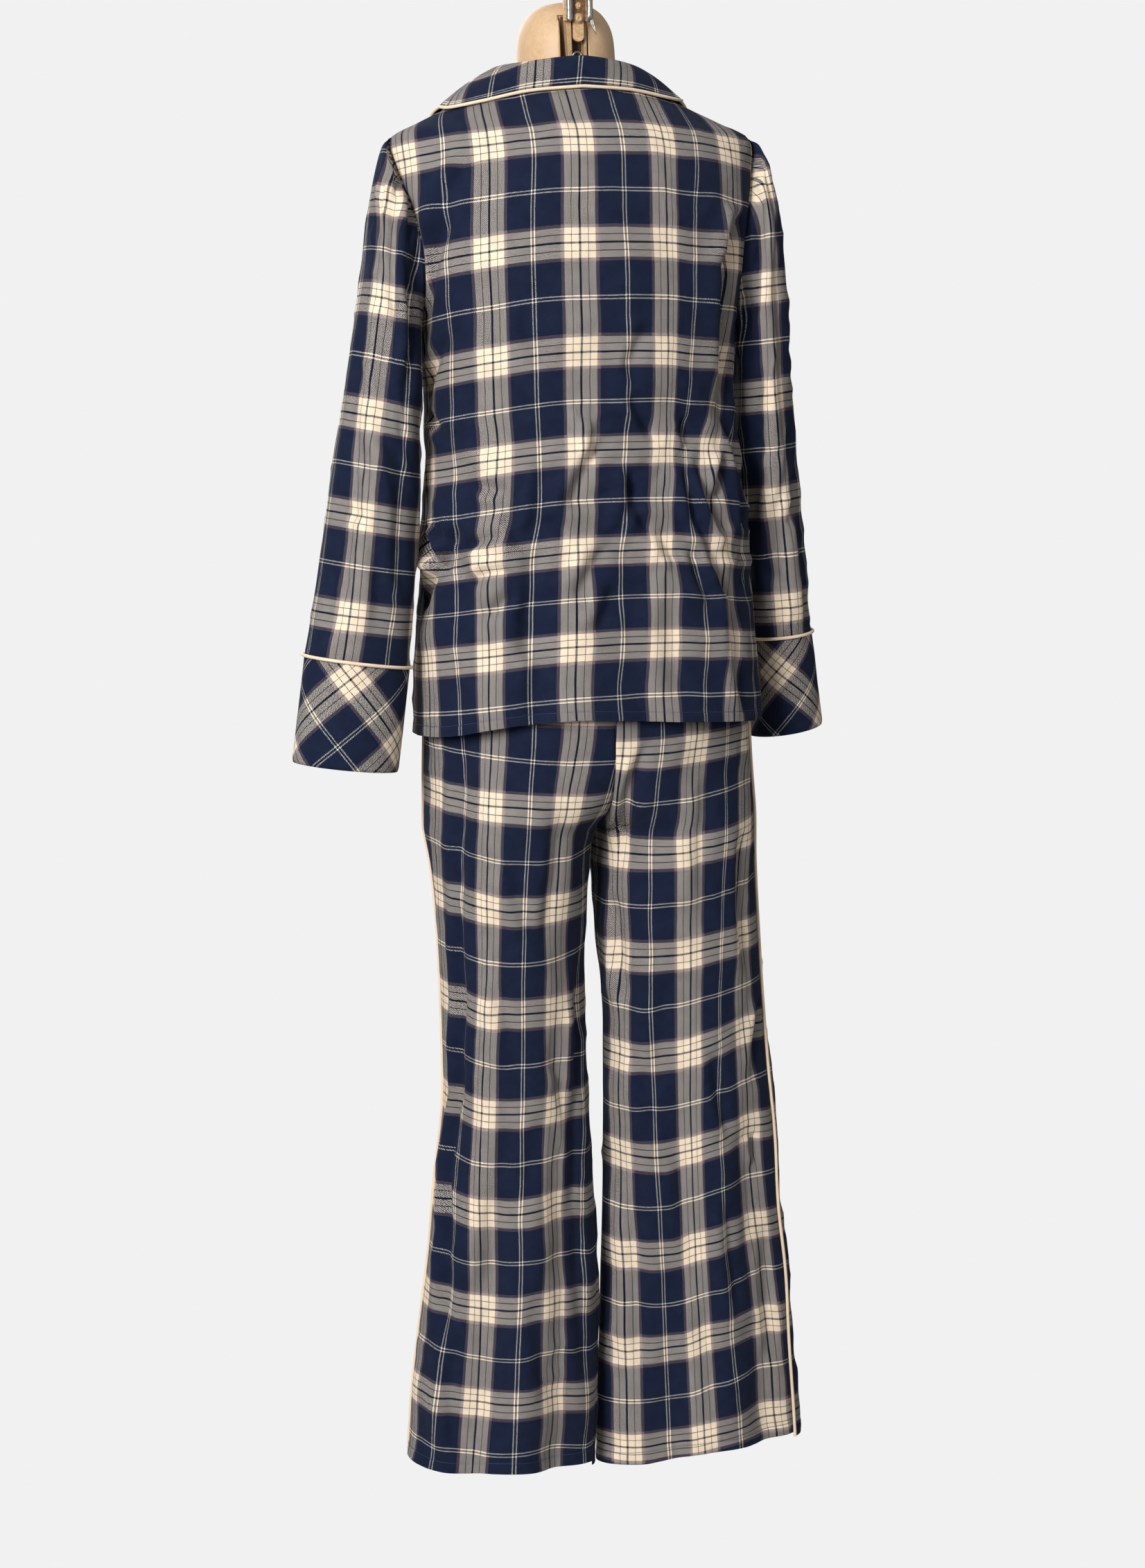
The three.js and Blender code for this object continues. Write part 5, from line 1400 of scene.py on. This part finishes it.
# Threads through the holes, and a worked buttonhole under each button.
holeSizes = {"half": 9.0, "gap": 1.1, "bar": 1.8, "proud": 0.35, "pitch": 0.45}
threadSizes = {"apart": 0.28, "radius": 0.0003, "into": 1.2, "rise": 0.25, "sunk": 0.55}
for k, height in enumerate(buttons["heights"]):
    centre = bodyPoint(-90.0, height, lapLift(-90.0))
    normal = bodyNormal(-90.0, height, lapLift(-90.0))
    side = unit(np.cross(normal, [0.0, 0.0, 1.0]))
    rise = np.cross(side, normal)
    spread = buttons["spacing"] * math.sqrt(0.5)
    over = buttons["proud"] + buttons["thickness"] - threadSizes["sunk"]
    steps = np.linspace(-1, 1, 9)[:, None]
    arch = over + threadSizes["rise"] * (1 - steps**2)
    arch = np.where(np.abs(steps) > 0.9, over - threadSizes["into"], arch)
    bars = [centre + normal * arch + side * (x + shift) + rise * steps * spread
            for x in (-spread, spread) for shift in (-threadSizes["apart"], threadSizes["apart"])]
    threads = alongPath(f"button_threads_{k + 1}", bars, cordTree, {
        "Radius": threadSizes["radius"], "Spacing": threadSizes["radius"], "Material": threadCream,
    })
    finishPiece(threads, threadCream, f"button_{k + 1}")
    edges = []
    for y in (-holeSizes["gap"], holeSizes["gap"]):
        across = np.linspace(-holeSizes["half"], holeSizes["half"], 40)[:, None]
        edges.append(centre + side * across + rise * y + normal * holeSizes["proud"])
    for x in (-holeSizes["half"], holeSizes["half"]):
        up = np.linspace(-holeSizes["bar"], holeSizes["bar"], 12)[:, None]
        edges.append(centre + side * x + rise * up + normal * holeSizes["proud"])
    stitchedRow(f"buttonhole_{k + 1}", edges, "jacket_front_right", gap=holeSizes["pitch"], across=True)
print("buttons built")

# The form under the clothes: its rings' heights, how far the shoulders' tips are drawn in between two
# heights, and the room for the legs below a third, each with the height over which it starts.
form = {"bottom": 762, "collarTop": 1470, "tipInset": 16, "columns": 96, "legRoom": 4,
        "body": (764, 1400, 90), "shoulder": (1406, 1468, 16),
        "tipsFrom": (1330, 50), "tipsTo": (1436, 16), "legsBelow": (1010, 15)}
# the neck's dome: radius by height
formNeck = [(0, 1468), (52, 1468), (53, 1478), (50.8, 1492), (50, 1506), (48.8, 1516), (46.6, 1524),
            (43.3, 1531), (38.2, 1538), (32.4, 1543), (25, 1547), (16, 1549.4), (8, 1550.5), (0, 1550.9)]
slot = {"left": 17, "right": -11.5, "floor": -3.5, "back": 30, "bottom": 1474, "top": 1534}


def boxPiece(name, low, high):
    maker = bmesh.new()
    low, high = toFrame(np.array(low, float)), toFrame(np.array(high, float))
    middle, size = Vector((low + high) / 2), Vector(np.abs(high - low))
    bmesh.ops.create_cube(maker, size=1, matrix=Matrix.Translation(middle) @ Matrix.Diagonal((*size, 1)))
    return fromMaker(name, maker)


def formPiece():
    angles = np.linspace(0, 360, form["columns"], endpoint=False)
    rings = []
    (tipsLow, tipsIn), (tipsHigh, tipsOut) = form["tipsFrom"], form["tipsTo"]
    legsTop, legsIn = form["legsBelow"]
    for height in np.concatenate([np.linspace(*form["body"]), np.linspace(*form["shoulder"])]):
        tip = form["tipInset"] * np.abs(np.cos(np.radians(angles))) ** 5
        near = smooth((height - tipsLow) / tipsIn) * smooth((tipsHigh - height) / tipsOut)
        inset = columnAt(formInsets, "inset", height) + tip * near
        inset = inset + form["legRoom"] * smooth((legsTop - height) / legsIn)
        rings.append(offBody(angles, np.full(angles.shape, height), -inset))
    rings = np.array(rings)
    count = form["columns"]
    ends = [[0, 0, form["bottom"]]], [[0, neckMiddle, form["collarTop"]]]
    vertices = np.concatenate([ends[0], rings.reshape(-1, 3), ends[1]])
    faces = [list(face) for face in gridFaces(len(rings) - 1, count, count, 1)]
    last = len(vertices) - 1
    faces += [[0, 1 + (k + 1) % count, 1 + k] for k in range(count)]
    faces += [[last, last - count + k, last - count + (k + 1) % count] for k in range(count)]
    return meshObject("form_torso", toFrame(vertices), faces)


def refined(profile, parts):
    # more rings along a lathe's profile, on a smooth curve through its points
    points = np.array(profile, float)
    ends = [2 * points[0] - points[1], *points, 2 * points[-1] - points[-2]]
    result = []
    for four in zip(ends, ends[1:], ends[2:], ends[3:]):
        result += [through(*four, k / parts) for k in range(parts)]
    return [(max(0.0, float(r)), float(h)) for r, h in result] + [tuple(profile[-1])]


def atGarment(piece, x=0.0, y=0.0, z=0.0, turn=None):
    # from millimetres about the piece's own origin to its place in the frame
    moved = Matrix.Translation(Vector(toFrame(np.array([x, y, z], float))))
    return place(piece, moved @ (turn or Matrix.Identity(4)) @ Matrix.Scale(0.001, 4))


finishPiece(formPiece(), formSkin, "form_body")
neck = atGarment(lathe("form_neck", [formNeck[0]] + refined(formNeck[1:], 4), 96), 0, neckMiddle, 0)
neck = cutAway(neck, boxPiece("slot_cutter", (slot["right"], slot["floor"], slot["bottom"]),
                              (slot["left"], slot["back"], slot["top"])))
finishPiece(neck, formSkin, "form_body")


def plate(name, outline, low, high, bevel=0.5):
    # a flat bar in the x and height plane, from one depth to another, with broken edges
    maker = bmesh.new()
    front = [maker.verts.new(toFrame(np.array([x, high, z]))) for x, z in outline]
    behind = [maker.verts.new(toFrame(np.array([x, low, z]))) for x, z in outline]
    maker.faces.new(front)
    maker.faces.new(behind[::-1])
    for k in range(len(outline)):
        m = (k + 1) % len(outline)
        maker.faces.new((front[m], front[k], behind[k], behind[m]))
    bmesh.ops.recalc_face_normals(maker, faces=maker.faces)
    bmesh.ops.bevel(maker, geom=maker.edges[:], offset=bevel * 0.001, segments=2, affect="EDGES",
                    profile=0.6, clamp_overlap=True)
    return fromMaker(name, maker)


def arcPoints(x, z, radius, start, end, count):
    angles = np.radians(np.linspace(start, end, count))
    return [(x + radius * math.cos(a), z + radius * math.sin(a)) for a in angles]


# The bracket in the slot: a plate with two slanted legs, the strap's tongue between them.
bracketSizes = {"plate": (-11, 14), "back": (-3.2, -1.2), "low": 1475.5, "high": 1532.5,
                "legs": (-1.0, 11.4)}
strapSizes = {"half": 15, "depth": (12.2, 16.8), "shoulder": 1526, "eye": 1622, "eyeRadius": 8,
              "tongue": 5.4, "end": 1506}
b = bracketSizes
rightX, leftX = b["plate"]
outline = [(rightX, b["low"]), (leftX, b["low"]), (leftX, b["high"]), (rightX, b["high"])]
# the plate at the back of the slot takes the slot's painted shade
finishPiece(plate("bracket_plate", outline, *b["back"], 0.4), slotShade, "neck_bracket")
legOutlines = {
    "bracket_leg_left": [(5.4, 1475.6), (8.9, 1475.6), (11.8, 1530), (10.6, 1531.5), (7.0, 1531.5),
                         (6.4, 1528)],
    "bracket_leg_right": [(-9.6, 1475.6), (-6.6, 1475.6), (-6.4, 1531.5), (-8.6, 1531.5), (-9.4, 1529)],
}
for name, outline in legOutlines.items():
    finishPiece(plate(name, outline, *b["legs"], 0.5), bracketPaint, "neck_bracket")

p = strapSizes
outline = [(-p["half"], p["shoulder"]), (-p["tongue"], p["shoulder"] - 0.2)]
outline += arcPoints(0, p["end"] + p["tongue"], p["tongue"], 180, 360, 15)
outline += [(p["tongue"], p["shoulder"] - 0.2), (p["half"], p["shoulder"])]
outline += arcPoints(0, p["eye"], p["half"], 0, 180, 25)
strap = plate("strap_plate", outline, *p["depth"], 0.6)
eyeTool = lathe("eye_tool", [(0, -10), (p["eyeRadius"], -10), (p["eyeRadius"], 10), (0, 10)], 40)
atGarment(eyeTool, 0, sum(p["depth"]) / 2, p["eye"], Matrix.Rotation(math.radians(-90), 4, "X"))
finishPiece(cutAway(strap, eyeTool), strapPaintAndShade, "hanger_strap")

# The rods: crimped tubes with torn lower ends, and the wires that stick out of one.
rodSizes = {"radius": 3.7, "offset": 10.4, "low": 1524.5, "high": 1603, "depth": 21.2, "tear": 3.2,
            "flattened": 0.12, "tornUp": 9, "waist": 0.5, "endBevel": 0.8,
            "dents": [(0.34, 31, 1), (0.22, 77, 2)]}
for word, side in (("left", 1), ("right", -1)):
    steps = np.linspace(0, 1, 80)
    profile = [(0.0, 0.0)]
    for t in steps:
        dent = sum(depth * math.sin(t * turns + shift * side) for depth, turns, shift in rodSizes["dents"])
        radius = rodSizes["radius"] - rodSizes["waist"] + dent * 0.5
        radius -= rodSizes["endBevel"] if t in (0, 1) else 0
        profile.append((radius, t * (rodSizes["high"] - rodSizes["low"])))
    profile.append((0.0, profile[-1][1]))
    tube = lathe(f"rod_tube_{word}", profile, 24)
    for vertex in tube.data.vertices:
        turn = math.atan2(vertex.co.y, vertex.co.x)
        torn = max(0.0, 1 - vertex.co.z / rodSizes["tornUp"])
        if vertex.co.xy.length > 0.5:
            vertex.co.z += torn * rodSizes["tear"] * (0.5 + 0.5 * math.sin(turn * 2 + 1.3 * side))
        vertex.co.y *= 1 - rodSizes["flattened"] * torn
    atGarment(tube, side * rodSizes["offset"], rodSizes["depth"], rodSizes["low"])
    finishPiece(tube, dulledSteel, f"rod_{word}")
# Each wire's points, and how far each next wire's lie from them.
wirePath = np.array([[-11, 21.5, 1528], [-11.6, 22.6, 1522.5], [-13.4, 22.8, 1517.5], [-15.2, 22, 1514.8]])
wireStep = np.array([[-0.9, 0.5, 0], [-1.5, 0, -1], [-1.1, 0, -1.3], [-0.7, 0, -1.4]])
wires = [wirePath + wireStep * k for k in range(3)]
frayed = alongPath("rod_wires", wires, cordTree, {"Radius": 0.00055, "Spacing": 0.0008,
                                                  "Material": dulledSteel})
finishPiece(frayed, dulledSteel, "rod_right")

bolts = {"bolt_upper": {"z": 1540.5, "radius": 3.4, "proud": 2.6},
         "bolt_lower": {"z": 1528, "radius": 5.4, "proud": 3.6}}
facing = Matrix.Rotation(math.radians(-90), 4, "X")
for node, size in bolts.items():
    r, h = size["radius"], size["proud"]
    profile = [(0, 0), (r, 0), (r, 0.5), (r - 0.2, 0.9), (0.72 * r, 1.0), (0.7 * r, 1.3),
               (0.66 * r, h * 0.72), (0.5 * r, h * 0.94), (0.3 * r, h), (0.27 * r, h - 0.35), (0, h - 0.4)]
    head = lathe(node + "_head", profile, 32)
    atGarment(head, 0, p["depth"][1] + 0.05, size["z"], facing)
    finishPiece(head, bracketPaint, node)

ringSizes = {"radius": 4.8, "wire": 1.1, "z": 1492, "y": 9, "bend": 0.9, "open": (-86, 266)}
loop = [(ringSizes["radius"] * math.cos(a), ringSizes["y"] + ringSizes["bend"] * math.sin(2 * a),
         ringSizes["z"] + ringSizes["radius"] * math.sin(a))
        for a in np.radians(np.linspace(*ringSizes["open"], 60))]
ringPiece = alongPath("neck_loop", [np.array(loop)], cordTree,
                      {"Radius": ringSizes["wire"] * 0.001, "Spacing": 0.0006, "Material": dulledSteel})
finishPiece(ringPiece, dulledSteel, "neck_ring")
print("form and hardware built")

# The background is brighter for the camera than for the light that it gives.
stage = {"floor": -2.35, "reach": 1.05, "background": linear(241, 241, 241), "seen": 0.76, "given": 0.24}
floorMesh = bpy.data.meshes.new("floor")
floorMaker = bmesh.new()
bmesh.ops.create_circle(floorMaker, cap_ends=True, radius=stage["reach"], segments=96,
                        matrix=Matrix.Translation((0, 0, stage["floor"])))
floorMaker.to_mesh(floorMesh)
floorMaker.free()
floor = linked("floor", floorMesh)
floor.data.materials.append(plain("paleFloor", [(238, 238, 238), (240, 240, 240)], 3, (0.8, 0.9), 0.0))

world = bpy.data.worlds.new("studio")
bpy.context.scene.world = world
world.use_nodes = True
worldNodes = Nodes(world.node_tree)
background = world.node_tree.nodes["Background"]
background.inputs[0].default_value = stage["background"]
path = worldNodes.add("ShaderNodeLightPath")
strength = worldNodes.math("MULTIPLY_ADD", path.outputs["Is Camera Ray"], stage["seen"], stage["given"])
world.node_tree.links.new(strength, background.inputs[1])


def softbox(name, place, target, size, power):
    light = bpy.data.lights.new(name, "AREA")
    light.shape = "RECTANGLE"
    light.size, light.size_y = size
    light.energy = power
    lamp = bpy.data.objects.new(name, light)
    lamp.location = place
    lamp.rotation_euler = (Vector(target) - Vector(place)).to_track_quat("-Z", "Y").to_euler()
    bpy.context.collection.objects.link(lamp)


# Each lamp: place, what it points at, size and power.
lamps = {
    "keyLight": ((2.5, 2.8, 0.7), (0, 0, -0.75), (1.2, 1.8), 172),
    "fillLight": ((-1.8, 3.2, 0.2), (0, 0, -0.9), (1.6, 2.4), 12),
    "frontLight": ((0.6, -3.4, 0.8), (0, 0, -0.8), (2.4, 2.4), 70),
    "topLight": ((0, 0.3, 2.2), (0, 0, -0.8), (2.0, 2.0), 12),
}
for name, settings in lamps.items():
    softbox(name, *settings)

cameraSet = {"place": (0.6706, 2.5994, -0.4730), "turn": 14.0, "down": 8.5, "roll": -1.2, "lens": 59.78}
turn, down = math.radians(cameraSet["turn"]), math.radians(cameraSet["down"])
back = Vector((math.sin(turn), math.cos(turn), 0))
forward = -back * math.cos(down) - Vector((0, 0, 1)) * math.sin(down)
right = Vector((-math.cos(turn), math.sin(turn), 0))
upward = right.cross(forward)
camera = bpy.data.cameras.new("camera")
camera.lens = cameraSet["lens"]
camera.sensor_width = 36
camera.clip_end = 60
cameraObject = bpy.data.objects.new("camera", camera)
axes = Matrix((right, upward, -forward)).transposed().to_4x4()
cameraObject.matrix_world = (Matrix.Translation(cameraSet["place"]) @ axes
                             @ Matrix.Rotation(math.radians(cameraSet["roll"]), 4, "Z"))
bpy.context.collection.objects.link(cameraObject)
bpy.context.scene.camera = cameraObject
bpy.context.scene.view_settings.view_transform = "Standard"
print("floor, light and camera set")
